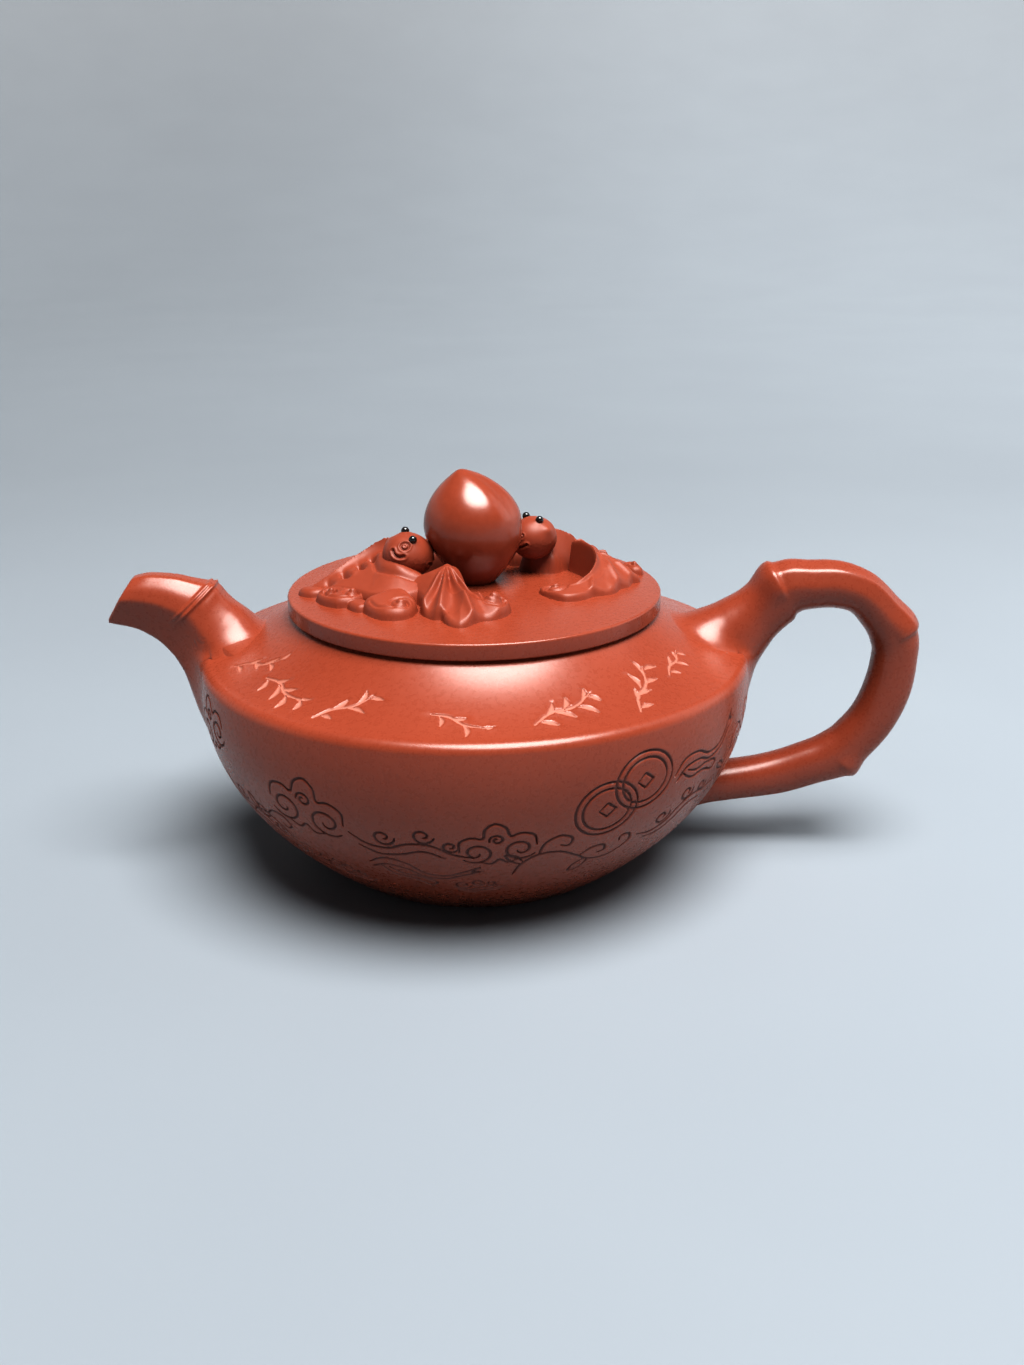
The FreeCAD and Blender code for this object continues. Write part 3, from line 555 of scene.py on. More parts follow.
def walled(skin, rows, cols, strokes, inner, step=0.45, burr=0.03):
    """The carved outside closed by the plain inside, given as (r, z) points
    from the outside's top edge round to its bottom edge."""
    v, t, cut, us = carve(skin, rows, cols, strokes, step, burr)
    p = np.vstack([skin.c[-1:], inner, skin.c[:1]])
    ph = us / skin.R
    w = np.stack([p[None, :, 0] * np.sin(ph)[:, None], -p[None, :, 0] * np.cos(ph)[:, None],
                  np.broadcast_to(p[None, :, 1], (len(ph), len(p)))], -1).reshape(-1, 3)
    t2 = tri_grid(len(ph), len(p))
    # the carved side faces out, the rest is turned to match it
    a, b, c = v[t[:, 0]], v[t[:, 1]], v[t[:, 2]]
    nn = np.cross(b - a, c - a)
    if (nn * (a * [1, 1, 0])).sum() < 0:
        t = t[:, ::-1]
    a, b, c = w[t2[:, 0]], w[t2[:, 1]], w[t2[:, 2]]
    inside = (w[t2].mean(1)[:, 2] > inner[0, 1] - 0.05)
    nn = np.cross(b - a, c - a)
    if nn[inside][:, 2].sum() < 0:
        t2 = t2[:, ::-1]
    vv, ta = np.vstack([v, w]), np.vstack([t, t2 + len(v)])
    return weld(vv, ta, {"cut": np.r_[cut, np.zeros(len(w))]}, tol=1e-3)


# ------------------------------------------------------------ line ornaments
def place(pts, at, scale=1.0, turn=0.0, mirror=False):
    p = np.asarray(pts, float) * scale
    if mirror:
        p = p * [-1, 1]
    c, s = math.cos(turn), math.sin(turn)
    return p @ np.array([[c, s], [-s, c]]) + np.asarray(at, float)


def spiral(c, r0, r1, a0, turns, n=40):
    t = np.linspace(0, 1, n)
    r = r0 + (r1 - r0) * t ** 0.8
    a = math.radians(a0) + turns * 2 * PI * t
    return np.stack([c[0] + r * np.cos(a), c[1] + r * np.sin(a)], -1)


def cloud_head():
    """Three-lobed cloud: two inward curls and a cap with a small eye."""
    right = spiral((3.4, 0.6), 0.5, 2.7, 200, 1.35)
    cap = through([(-6.0, 1.2), (-5.6, 3.6), (-3.4, 4.4), (-2.2, 3.9), (-1.5, 6.0), (0, 7.0),
                   (1.5, 6.0), (2.2, 3.9), (3.4, 4.4), (5.6, 3.6), (6.0, 1.2)], 0.4)
    waist = through([(-3.0, -1.9), (-1.2, -2.6), (0, -1.4), (1.2, -2.6), (3.0, -1.9)], 0.4)
    return [right, right * [-1, 1], cap, waist, spiral((0, 3.4), 0.3, 1.2, 90, 1.3, 24)]


def cloud_tail():
    """Trailing wisp of a cloud with three curls along it."""
    main = through([(0, 0), (3.0, -1.6), (6.5, -1.4), (9.5, 0.6), (13, 1.2), (16.5, -0.2), (20, -0.6)], 0.4)
    under = through([(1.6, -2.4), (5.0, -3.5), (8.6, -2.4), (12, -0.6), (15.6, -1.5)], 0.4)
    return [main, under, spiral((5.6, 1.0), 0.35, 1.9, -60, 1.2), spiral((11.6, 3.1), 0.35, 1.8, -70, 1.2),
            spiral((16.0, 1.6), 0.3, 1.4, -80, 1.2)]


def tendril():
    """Curling stem with leaf strokes."""
    stem = through([(0, 0), (2.2, 3.0), (5.6, 4.6), (9.4, 3.6), (12, 0.8), (14.4, -2.2), (18, -3.6), (21, -2.6)], 0.4)
    curl1 = through([(5.6, 4.6), (7.4, 7.4), (10.4, 8.0), (12.0, 6.2), (11.0, 4.7), (9.7, 5.6)], 0.35)
    curl2 = through([(12.6, 0.2), (15.4, 1.4), (17.6, 0.6), (17.4, -1.2), (16.1, -1.0)], 0.35)
    end = through([(21, -2.6), (22.8, -1.0), (22.4, 1.0), (20.8, 1.2), (20.6, -0.1)], 0.35)
    leaves = [through([(2.2, 3.0), (0.6, 4.6), (0.2, 6.8), (1.8, 5.8), (2.6, 3.6)], 0.4),
              through([(13.6, -1.4), (11.4, -2.6), (10.4, -4.8), (12.6, -4.4), (14.2, -2.2)], 0.4)]
    return [stem, curl1, curl2, end] + leaves


def rings():
    """Two linked plain rings, each with a square window."""
    out = []
    for cx, cy in ((0, 0), (6.2, 3.4)):
        a = np.linspace(0, 2 * PI, 60)
        out.append(np.stack([cx + 5.0 * np.cos(a), cy + 5.0 * np.sin(a)], -1))
        out.append(np.stack([cx + 3.9 * np.cos(a), cy + 3.9 * np.sin(a)], -1))
        k = 1.35
        out.append(np.array([(cx - k, cy), (cx, cy - k), (cx + k, cy), (cx, cy + k), (cx - k, cy)]))
    return out


def ribbon():
    """Fluttering double line with a forked end."""
    a = through([(0, 0), (3, 2.2), (6.5, 1.6), (9.5, -0.8), (13, -1.2), (16, 0.6), (18.6, 2.6)], 0.4)
    b = a + np.stack([0.2 + 0 * a[:, 0], -1.5 - 0.5 * np.sin(a[:, 0] / 3.0)], -1)
    return [a, b, np.array([a[-1], (17.4, 0.9), b[-1]]),
            through([(2.0, -0.4), (4.0, -2.8), (7.6, -3.6), (10.4, -5.6)], 0.4),
            through([(3.4, -0.6), (5.4, -2.0), (8.8, -2.6), (11.6, -4.4), (10.4, -5.6)], 0.4)]


def wave():
    """Small fan of curls, like spray."""
    out = []
    for i, (x, y, r, m) in enumerate([(0, 0, 1.9, 1), (3.4, 0.9, 1.6, 1), (6.2, 0.1, 1.3, 1)]):
        s = spiral((0, 0), 0.3, r, 250, 1.25)
        out.append(s * [m, 1] + [x, y])
    out.append(through([(-2.4, -1.2), (0.6, -2.7), (4.2, -1.9), (7.6, -2.2), (9.4, -1.2)], 0.4))
    out.append(through([(-1.4, -2.6), (1.4, -3.9), (5.0, -3.1), (7.8, -3.5)], 0.4))
    return out


def bowl_strokes():
    """Cloud, ring, ribbon and tendril ornament spread over the lower bowl."""
    todo = [  # motif, u, v, scale, turn in degrees, mirror
        (cloud_head, -58, 40, 1.10, 16, False), (cloud_tail, -57, 32, 1.1, -34, False),
        (tendril, -50, 25, 1.0, -22, False), (wave, -31, 15.5, 1.05, -10, False),
        (cloud_head, -31, 31, 1.35, -10, False), (cloud_tail, -22, 30, 1.15, -10, False),
        (ribbon, -20, 21.5, 1.15, -6, False), (wave, -2, 14.5, 1.0, 4, False),
        (cloud_head, 5, 26.5, 1.15, 6, False), (tendril, 8, 19, 1.05, 16, False),
        (rings, 24, 34.5, 1.2, 4, False), (ribbon, 38, 37.5, 1.05, 16, False),
        (cloud_tail, 33, 25, 1.05, 18, False), (tendril, 56, 29, 0.95, 30, False),
        (wave, 50, 17, 0.95, 14, False), (cloud_head, 70, 38.5, 1.0, -12, True),
        (rings, 84, 28, 1.0, -10, True), (cloud_tail, 94, 34, 1.0, 8, False),
        (tendril, 100, 22, 0.95, -8, False), (cloud_head, 120, 35, 1.1, 8, False),
        (wave, 124, 17, 1.0, 0, False), (ribbon, 130, 29, 1.0, -6, False),
        (cloud_head, 150, 24, 1.0, 6, True), (cloud_head, -152, 33, 1.1, -6, False),
        (tendril, -146, 20, 0.95, 8, False), (rings, -120, 30, 1.05, 8, False),
        (ribbon, -108, 34, 1.0, -4, False), (wave, -122, 16, 1.0, 6, False),
        (cloud_tail, -106, 20, 1.0, 10, False), (cloud_head, -88, 33, 1.0, 6, True),
        (tendril, -88, 19, 0.9, -6, False)]
    out = []
    for motif, u, v, sc, turn, mirror in todo:
        for s in motif():
            p = place(s, (u, v), sc, math.radians(turn), mirror)
            n = len(p)
            w = 0.31 * np.r_[0.55, np.ones(max(2, n // 6)), 0.55]
            out.append((p, w, 0.34))
    return out


def twig(seed, size=1.0, tilt=0.0, n=5):
    """Leafy twig of short brush-like cuts: a stem and pairs of leaves."""
    rg = np.random.default_rng(seed)
    stem = through([(-5.6, -1.2), (-2.4, 0.4), (1.4, 0.2), (5.4, 1.6)], 0.4)
    out = [(stem, (0.22, 0.42, 0.34, 0.18))]
    for i in range(n):
        k = (i + 0.6) / n
        b = stem[int(k * (len(stem) - 1))]
        side = 1 if i % 2 else -1
        a = math.radians(26 + 30 * rg.random()) * side
        ln = (2.6 + 1.6 * rg.random()) * (1 - 0.3 * abs(k - 0.45))
        mid = b + ln * 0.55 * np.array([math.cos(a * 0.7), math.sin(a * 0.7)])
        end = b + ln * np.array([math.cos(a), math.sin(a)])
        out.append((through([b + 0.25 * (mid - b), mid, end], 0.3), (0.16, 0.62, 0.12)))
    c, s = math.cos(tilt), math.sin(tilt)
    rot = np.array([[c, s], [-s, c]])
    return [((p * size) @ rot, np.array(w) * size ** 0.5) for p, w in out]


def shoulder_strokes():
    """Small leafy twigs cut into the shoulder, each its own lie."""
    out = []
    for i, (u, v, sc, tilt, n) in enumerate([
            (-53, 11.4, 1.10, 0.45, 6), (-39, 9.4, 1.25, -0.35, 7), (-23, 9.4, 1.05, 0.55, 5),
            (-2.0, 8.4, 0.90, -0.6, 4), (17.5, 9.8, 1.25, 0.20, 7), (35.5, 10.4, 1.25, 0.55, 7),
            (49.5, 13.0, 0.95, 0.1, 5)]):
        for p, w in twig(20 + i, sc, tilt, n):
            out.append((p + [u, v], w, 0.24))
    return out


# ------------------------------------------------------------- pot: the bowl
BOWL = Skin(np.vstack([[foot_pt], wall, [keel_pt]]), 52.0)
inner = [(54.6, 43.9), (54.6, 40.0), (54.6, 35.5)]
inner += [tuple(p) for p in arc3((54.6, 35.5), (52.55, 27.5), (48.86, 20.5), 10)[1:]]
inner += [tuple(p) for p in arc3((48.86, 20.5), (42.2, 12.4), (31.5, 3.2), 12)[1:]]
inner = np.array(inner)
rows = np.r_[0, 0.25, np.linspace(0.9, BOWL.L - 0.9, 46), BOWL.L - 0.25, BOWL.L]
v, t, ex = walled(BOWL, rows, 240, bowl_strokes(), inner)
# painted shade darkens the colour in the bowl's engraved lines
bowl = piece("lower_bowl_carved", v, t, "pot", ["lower_bowl"], CLAY, attrs={"cut_painted_shade": ex["cut"] * 0.85}, flip=False)

SHOULDER = Skin(np.vstack([keel, shoulder, [neck_pt]]), 48.0)
inner = np.array([(33.0, 52.6), (33.0, 50.9), (33.3, 50.6), (38.0, 50.0), (44.8, 47.0), (53.4, 43.9)])
rows = np.r_[np.linspace(0, 3.2, 20), np.linspace(3.6, SHOULDER.L - 0.5, 20), SHOULDER.L - 0.2, SHOULDER.L]
v, t, ex = walled(SHOULDER, rows, 240, shoulder_strokes(), inner, step=0.4, burr=0.05)
top = piece("shoulder_shell_carved", v, t, "pot", ["shoulder_shell"], CLAY, attrs={"cut_pale": ex["cut"]}, flip=False, crisp=tuple(neck_pt))

HOLE_C, HOLE_D = (-53.7, 0, 45.7), (-0.8280, 0, 0.5608)
hole_mid = tuple(np.array(HOLE_C) - 5 * np.array(HOLE_D))
bore(bowl, hole_mid, HOLE_D, 6.2, 30)
bore(top, hole_mid, HOLE_D, 6.2, 30)

prof = np.vstack([[neck_pt], neck[:-1:2], [[38.0, 54.9]], soften([(38.0, 54.9), (37.5, 55.27), (33.0, 55.27), (33.0, 52.6)],
                                                                 [0, 0.25, 0.35, 0], 4)[1:]])
v, t = revolve(prof, 240)
piece("mouth_ring_turned", v, t, "pot", ["mouth_ring"], CLAY)

prof = np.vstack([[(0, 0), (10, 0), (20, 0), (30.9, 0)], soften([(30.9, 0), (32, 0), tuple(foot_pt)], [0, 0.5, 0], 4)[1:-1],
                  low[low[:, 1] > 0.5][::6], [foot_pt], [(31.5, 3.2), (20, 3.2), (0, 3.2)]])
v, t = revolve(prof, 240)
piece("base_plate_turned", v, t, "pot", ["base_plate"], CLAY)


# ----------------------------------------------------------------- the spout
def gauge(ang, planes, p):
    """Radius of a rounded facet section in each direction: planes are lists
    of (normal angle, distance), with distances as columns."""
    g = 0
    for a, d in planes:
        c = np.cos(ang[None, :] - a[:, None]) / d[:, None]
        g = g + np.maximum(c, 0) ** p
    return g ** (-1.0 / p)


def plane_through(p, q):
    """Normal angle and distance of the lines through p and q, both (n, 2)."""
    d = q - p
    n = np.stack([d[:, 1], -d[:, 0]], -1)
    n /= np.linalg.norm(n, axis=1)[:, None]
    dist = (n * p).sum(1)
    flip = dist < 0
    n[flip], dist[flip] = -n[flip], -dist[flip]
    return np.arctan2(n[:, 1], n[:, 0]), dist


# top x, z, bottom x, z, half width, width of the bottom facet
SP = np.array([
    (-71.1, 61.3, -77.35, 51.6, 4.60, 0.44), (-69.0, 61.75, -75.6, 51.2, 4.75, 0.44),
    (-65.8, 61.7, -73.4, 50.8, 5.00, 0.44), (-62.3, 61.3, -71.0, 50.1, 5.35, 0.44),
    (-59.0, 60.5, -68.9, 49.0, 5.80, 0.44), (-56.6, 60.0, -67.3, 48.0, 6.20, 0.45),
    (-55.2, 59.8, -66.3, 47.2, 6.45, 0.46), (-54.0, 59.0, -65.2, 46.1, 6.70, 0.47),
    (-52.8, 57.4, -63.6, 44.2, 7.20, 0.50), (-51.0, 55.6, -61.9, 41.2, 8.20, 0.55),
    (-48.6, 54.0, -60.5, 37.6, 9.80, 0.62), (-46.0, 51.2, -58.0, 33.6, 12.2, 0.72),
    (-42.6, 46.8, -53.2, 29.0, 15.2, 0.80), (-38.0, 41.0, -46.5, 23.5, 18.5, 0.85)])
mid = (SP[:, 0:2] + SP[:, 2:4]) / 2
sp_s = np.r_[0, np.cumsum(np.linalg.norm(np.diff(mid, axis=0), axis=1))]
NR, NA = 190, 144
ss = np.linspace(0, sp_s[-1], NR)
S = flow(sp_s, SP, ss)
S[:, 4:] = pchip(sp_s, SP[:, 4:], ss)
ang = np.arange(NA) * 2 * PI / NA


def spout_rows(S, grow, p):
    top2, bot2 = S[:, 0:2], S[:, 2:4]
    c = (top2 + bot2) / 2
    up = top2 - bot2
    a = np.linalg.norm(up, axis=1) / 2 + grow
    b = S[:, 4] + grow
    up = up / np.linalg.norm(up, axis=1)[:, None]
    lowf = S[:, 5]
    k1 = np.stack([0.36 * b, a], -1)
    k2 = np.stack([0.80 * b, 0.60 * a], -1)
    k3 = np.stack([b, 0.14 * a], -1)
    k4 = np.stack([lowf * b, -a], -1)
    planes = [(np.full(len(b), PI / 2), a), (np.full(len(b), -PI / 2), a)]
    for u, w in ((k1, k2), (k2, k3), (k3, k4)):
        n, d = plane_through(u, w)
        planes += [(n, d), (PI - n, d)]
    r = gauge(ang, planes, p)
    y, n = r * np.cos(ang), r * np.sin(ang)
    return c, up, a, y, n


# crisp facets at the lip that soften towards the root
c, up, a, y, n = spout_rows(S, 0.0, (26 - 17 * smooth(sp_s[7], sp_s[10], ss))[:, None])
# the node ring: two fine ridges that lean with the section
s0 = sp_s[6]
pos = ss[:, None] - s0 + 0.9 * (1 - n / a[:, None])
above = smooth(-0.35, 0.15, n / a[:, None])
bump = above * (0.42 * bell(pos + 0.55, 0.36) + 0.50 * bell(pos - 0.55, 0.40))
scale = 1 + bump / np.hypot(y, n)
y, n = y * scale, n * scale
x = c[:, 0:1] + up[:, 0:1] * n
z = c[:, 1:2] + up[:, 1:2] * n
skin = np.stack([x, y, z], -1)
flat, d = graft(skin.reshape(-1, 3), 4.2)
skin = flat.reshape(NR, NA, 3)
d = d.reshape(NR, NA)
last = min(NR - 1, int(np.argmax((d < -4.4).all(axis=1))) + 1) if (d < -4.4).all(axis=1).any() else NR - 1
skin = skin[:last + 1]
# the bore, from the lip back to the hole in the wall
inn = np.linspace(0, sp_s[9], 60)
I = flow(sp_s, SP, inn)
I[:, 4:] = pchip(sp_s, SP[:, 4:], inn)
thick = -np.interp(inn, [0, 4, sp_s[6], sp_s[9]], [1.25, 1.5, 2.1, 3.4])
ci, ui, ai, yi, ni = spout_rows(I, thick, 14)
bore_in = np.stack([ci[:, 0:1] + ui[:, 0:1] * ni, yi, ci[:, 1:2] + ui[:, 1:2] * ni], -1)
# rounded lip between the skin and the bore
out_dir = np.array([up[0, 1] * -1, 0, up[0, 0]])
if out_dir[0] > 0:
    out_dir = -out_dir
lip = []
for k in range(1, 6):
    w = k / 6
    e = skin[0] * (1 - w) + bore_in[0] * w
    lip.append(e + out_dir * 0.42 * math.sin(PI * w))
lip = np.array(lip)[::-1]
deep = skin[-1] - pot_distance(skin[-1])[1] * 1.2
rows3 = np.concatenate([bore_in[::-1], lip, skin, deep[None]])
v = rows3.reshape(-1, 3)
t = tri_grid(len(rows3), NA, True, True)
piece("spout_faceted", v, t, "pot", ["spout"], CLAY, sharp=70)

# ---------------------------------------------------------------- the handle
HD = np.array([  # centre x, z, outward direction, half depth, half width, facet share
    (43.0, 35.6, 128, 12.6, 12.4, 0), (45.5, 38.6, 128, 12.8, 12.6, 0), (51.0, 43.9, 128, 10.2, 9.4, 0),
    (56.0, 48.6, 127, 7.6, 6.6, 0),
    (60.8, 53.4, 126, 6.2, 5.5, 0.2), (64.2, 56.9, 120, 6.7, 5.5, 0.6),
    (66.3, 58.3, 108, 6.2, 5.5, 1), (71.3, 58.9, 95, 5.4, 5.4, 1),
    (76.5, 58.8, 84, 5.2, 5.3, 1), (81.3, 57.2, 68, 4.9, 5.2, 1),
    (85.6, 53.2, 48, 4.9, 5.1, 1), (88.9, 48.6, 32, 5.3, 5.0, 0.9),
    (89.7, 46.0, 18, 5.0, 4.8, 0.15), (89.7, 41.6, 4, 4.85, 4.7, 0),
    (88.7, 35.0, -12, 5.0, 4.7, 0), (86.0, 28.4, -28, 4.95, 4.7, 0),
    (81.8, 23.0, -44, 5.0, 4.7, 0), (79.2, 20.3, -52, 5.6, 4.7, 0),
    (77.2, 19.4, -58, 5.3, 4.6, 0), (73.6, 18.2, -66, 4.9, 4.5, 0),
    (66.6, 15.9, -75, 4.7, 4.4, 0), (57.8, 14.4, -84, 4.4, 4.5, 0),
    (52.0, 13.9, -88, 4.6, 5.0, 0), (45.0, 14.0, -90, 5.9, 6.3, 0), (36.0, 15.5, -90, 5.8, 6.2, 0)])
hs = np.r_[0, np.cumsum(np.linalg.norm(np.diff(HD[:, :2], axis=0), axis=1))]
NH, NB = 420, 112
hh = np.linspace(0, hs[-1], NH)
H = flow(hs, HD, hh)
H[:, 3:] = pchip(hs, HD[:, 3:], hh)
ca, sa = np.cos(np.radians(H[:, 2])), np.sin(np.radians(H[:, 2]))
ang = np.arange(NB) * 2 * PI / NB
a, b, fac = H[:, 3], H[:, 4], H[:, 5][:, None]
# round sections, and a faceted one: low roof, slanted cheeks, round inside
e = 2.25
rnd = (np.abs(np.cos(ang)[None] / b[:, None]) ** e + np.abs(np.sin(ang)[None] / a[:, None]) ** e) ** (-1 / e)
planes = [(np.full(NH, PI / 2), a * 0.97)]
for sgn in (0, 1):
    def both(al, dd):
        al = np.full(NH, math.radians(al)) if np.isscalar(al) else al
        planes.append((PI - al if sgn else al, dd))
    al1 = math.radians(70)
    both(70, a * math.sin(al1) + 0.0 * b)
    al2 = math.radians(24)
    both(24, math.cos(al2) * 0.735 * b + math.sin(al2) * (a - 1.45))
    for al in (-8, -30, -52, -72):
        r_ = math.radians(al)
        both(al, np.sqrt((b * math.cos(r_)) ** 2 + (a * math.sin(r_)) ** 2))
planes.append((np.full(NH, -PI / 2), a))
fct = gauge(ang, planes, 24)
r = rnd * (1 - fac) + fct * fac
# nodes: the outer side swells to a crisp edge, then drops to the next length
outer = smooth(-0.20, 0.50, np.sin(ang))[None]


def node_edge(s0, rise, drop, high):
    q = hh[:, None] - s0
    return high * np.where(q < 0, np.exp(-(q / rise) ** 2), np.exp(-(q / drop) ** 2))


r = r + outer * node_edge(hs[5] + 0.6, 2.6, 0.45, 0.75)
r = r + outer * node_edge(hs[11] + 0.8, 3.0, 0.42, 0.60)
r = r + outer * node_edge(hs[17], 2.4, 0.9, 0.55)
y = r * np.cos(ang)[None]
n = r * np.sin(ang)[None]
x = H[:, 0:1] + ca[:, None] * n
z = H[:, 1:2] + sa[:, None] * n
ear = np.stack([x, y, z], -1)
flat, d = graft(ear.reshape(-1, 3), 3.4)
ear, d = flat.reshape(NH, NB, 3), d.reshape(NH, NB)
inside = (d < -3.6).all(axis=1)
first = int(np.max(np.where(inside[:NH // 2])[0])) if inside[:NH // 2].any() else 0
tail = np.where(inside[NH // 2:])[0]
lastr = NH // 2 + int(tail.min()) if len(tail) else NH - 1
ear = ear[first:lastr + 1]
cap0 = ear[0] - pot_distance(ear[0])[1] * 1.2
cap1 = ear[-1] - pot_distance(ear[-1])[1] * 1.2


def hug(edge):
    """Rings that close a root just under the pot's skin."""
    rows = []
    for w in (0.25, 0.5, 0.75, 1.0):
        _, nn, ff = pot_distance(edge * (1 - w) + edge.mean(0) * w)
        rows.append(ff - nn * 1.26)
    return np.array(rows)


rows3 = np.concatenate([hug(cap0)[::-1], cap0[None], ear, cap1[None], hug(cap1)])
v, t = weld(rows3.reshape(-1, 3), tri_grid(len(rows3), NB, False, True))
piece("handle_ear", v, t, "pot", ["handle"], CLAY, sharp=70)

# ------------------------------------------------------------------- the lid
prof = soften([(29.7, 48.0), (32.7, 48.0), (32.7, 55.27), (29.7, 55.27)], [0.6, 0.8, 0, 0], 5)
v, t = revolve(prof, 240)
piece("lid_flange_turned", v, t, "lid_carrier", ["lid_flange"], CLAY)


def lid_z(x, y):
    return 58.62 + 1.33 * (1 - (x * x + y * y) / 38.0 ** 2)


rr = np.linspace(0, 38.0, 60)
prof = np.vstack([[(0, 55.27), (20, 55.27)], soften([(20, 55.27), (39.03, 55.27), (39.03, 58.62), (38.0, 58.62), (0, 58.7)],
                                                    [0, 0.30, 0.62, 0, 0], 7)[1:-2],
                  np.stack([rr, lid_z(rr, 0)], -1)[::-1]])
v, t = revolve(prof, 320)
lid = piece("lid_plate_domed", v, t, "lid", ["lid_plate"], CLAY)
bore(lid, (0, 13.6, 58), (0, 0, 1), 1.2, 12, 40)

# ----------------------------------------------------------------- the peach
PK = np.array([  # z, lean in x, half width
    (59.4, 0.0, 3.6), (60.2, 0.1, 4.35), (61.4, 0.2, 5.25), (62.8, 0.35, 6.3), (64.8, 0.40, 7.65), (67.9, 0.15, 9.45),
    (71.6, -0.2, 10.2), (74.4, -0.25, 9.85), (77.0, -0.45, 8.70), (79.5, -0.75, 6.75), (81.0, -1.05, 5.05),
    (82.2, -1.45, 3.35), (83.0, -1.85, 1.95), (83.45, -2.2, 0.85), (83.6, -2.35, 0.0)])
ks = np.r_[0, np.cumsum(np.hypot(np.diff(PK[:, 0]), np.diff(PK[:, 2])))]
NP, NQ = 110, 144
K = flow(ks, PK, np.linspace(0, ks[-1], NP))
K[-1] = PK[-1]
ph = np.arange(NQ) * 2 * PI / NQ
w = np.maximum(K[:, 2], 0)[:, None]
hgt = (K[:, 0:1] - 60) / 23.6
away = np.angle(np.exp(1j * (ph - math.radians(-28))))[None]
cleft = 0.42 * smooth(0.42, 0.80, hgt) * (1 - smooth(0.975, 1.0, hgt)) * bell(away * np.maximum(w, 1.5), 1.9)
cheek = 0.22 * smooth(0.45, 0.80, hgt) * bell((np.abs(away) - 0.55) * np.maximum(w, 1.5), 2.4) * (1 - smooth(0.95, 1, hgt))
rad = np.maximum(w - cleft + cheek, 0)
v = np.stack([K[:, 1:2] + rad * np.cos(ph), rad * np.sin(ph), np.broadcast_to(K[:, 0:1], (NP, NQ))], -1)
base = np.repeat(v[0].mean(0)[None, None], NQ, 1)
v = np.concatenate([base, v])
v, t = weld(v.reshape(-1, 3), tri_grid(NP + 1, NQ, False, True))
piece("peach_knob_burnished", v, t, "lid", ["peach_knob"], POLISHED, sharp=80)


# ------------------------------------------------------------ relief on the lid
def sd_poly(X, Y, pts):
    """Signed distance to a closed outline, negative inside."""
    p = np.asarray(pts, float)
    q = np.roll(p, -1, 0)
    P = np.stack([X.ravel(), Y.ravel()], -1)
    best = np.full(len(P), 1e9)
    inside = np.zeros(len(P), bool)
    for a, b in zip(p, q):
        e = b - a
        w = P - a
        t = np.clip((w @ e) / (e @ e), 0, 1)
        best = np.minimum(best, ((w - t[:, None] * e) ** 2).sum(1))
        c = (a[1] > P[:, 1]) != (b[1] > P[:, 1])
        if abs(e[1]) > 1e-12:
            inside ^= c & (P[:, 0] < e[0] * (P[:, 1] - a[1]) / e[1] + a[0])
    d = np.sqrt(best)
    return np.where(inside, -d, d).reshape(X.shape)


def sd_line(X, Y, pts):
    """Distance to an open line, its share along it, and the side (+ left)."""
    p = np.asarray(pts, float)
    s = np.r_[0, np.cumsum(np.linalg.norm(np.diff(p, axis=0), axis=1))]
    P = np.stack([X.ravel(), Y.ravel()], -1)
    best = np.full(len(P), 1e18)
    share = np.zeros(len(P))
    side = np.zeros(len(P))
    for i in range(len(p) - 1):
        e = p[i + 1] - p[i]
        w = P - p[i]
        t = np.clip((w @ e) / (e @ e), 0, 1)
        d = ((w - t[:, None] * e) ** 2).sum(1)
        m = d < best
        best[m] = d[m]
        share[m] = (s[i] + t[m] * (s[i + 1] - s[i])) / s[-1]
        side[m] = np.sign(e[0] * w[m, 1] - e[1] * w[m, 0])
    return np.sqrt(best).reshape(X.shape), share.reshape(X.shape), side.reshape(X.shape)


def rim(sd, w, high):
    """Rounded rise from an outline: a quarter round of width w, then level;
    outside it falls away below the lid."""
    t = np.clip(-sd / w, 0, 1)
    return np.where(sd > 0, -2.0 * sd, high * np.sqrt(1 - (1 - t) ** 2))


def curl(X, Y, c, r, a0, hand=1, depth=0.6, boss=0.7):
    """Scroll end: a round boss inside a spiral groove."""
    s = spiral(c, r * 0.42, r * 1.15, a0, 1.15 * hand, 50)
    d, share, _ = sd_line(X, Y, s)
    q = np.hypot(X - c[0], Y - c[1])
    return boss * np.sqrt(np.clip(1 - (q / (0.42 * r)) ** 2, 0, 1)) - depth * bell(d, 0.26 + 0.05 * r) * (1 - 0.75 * share)


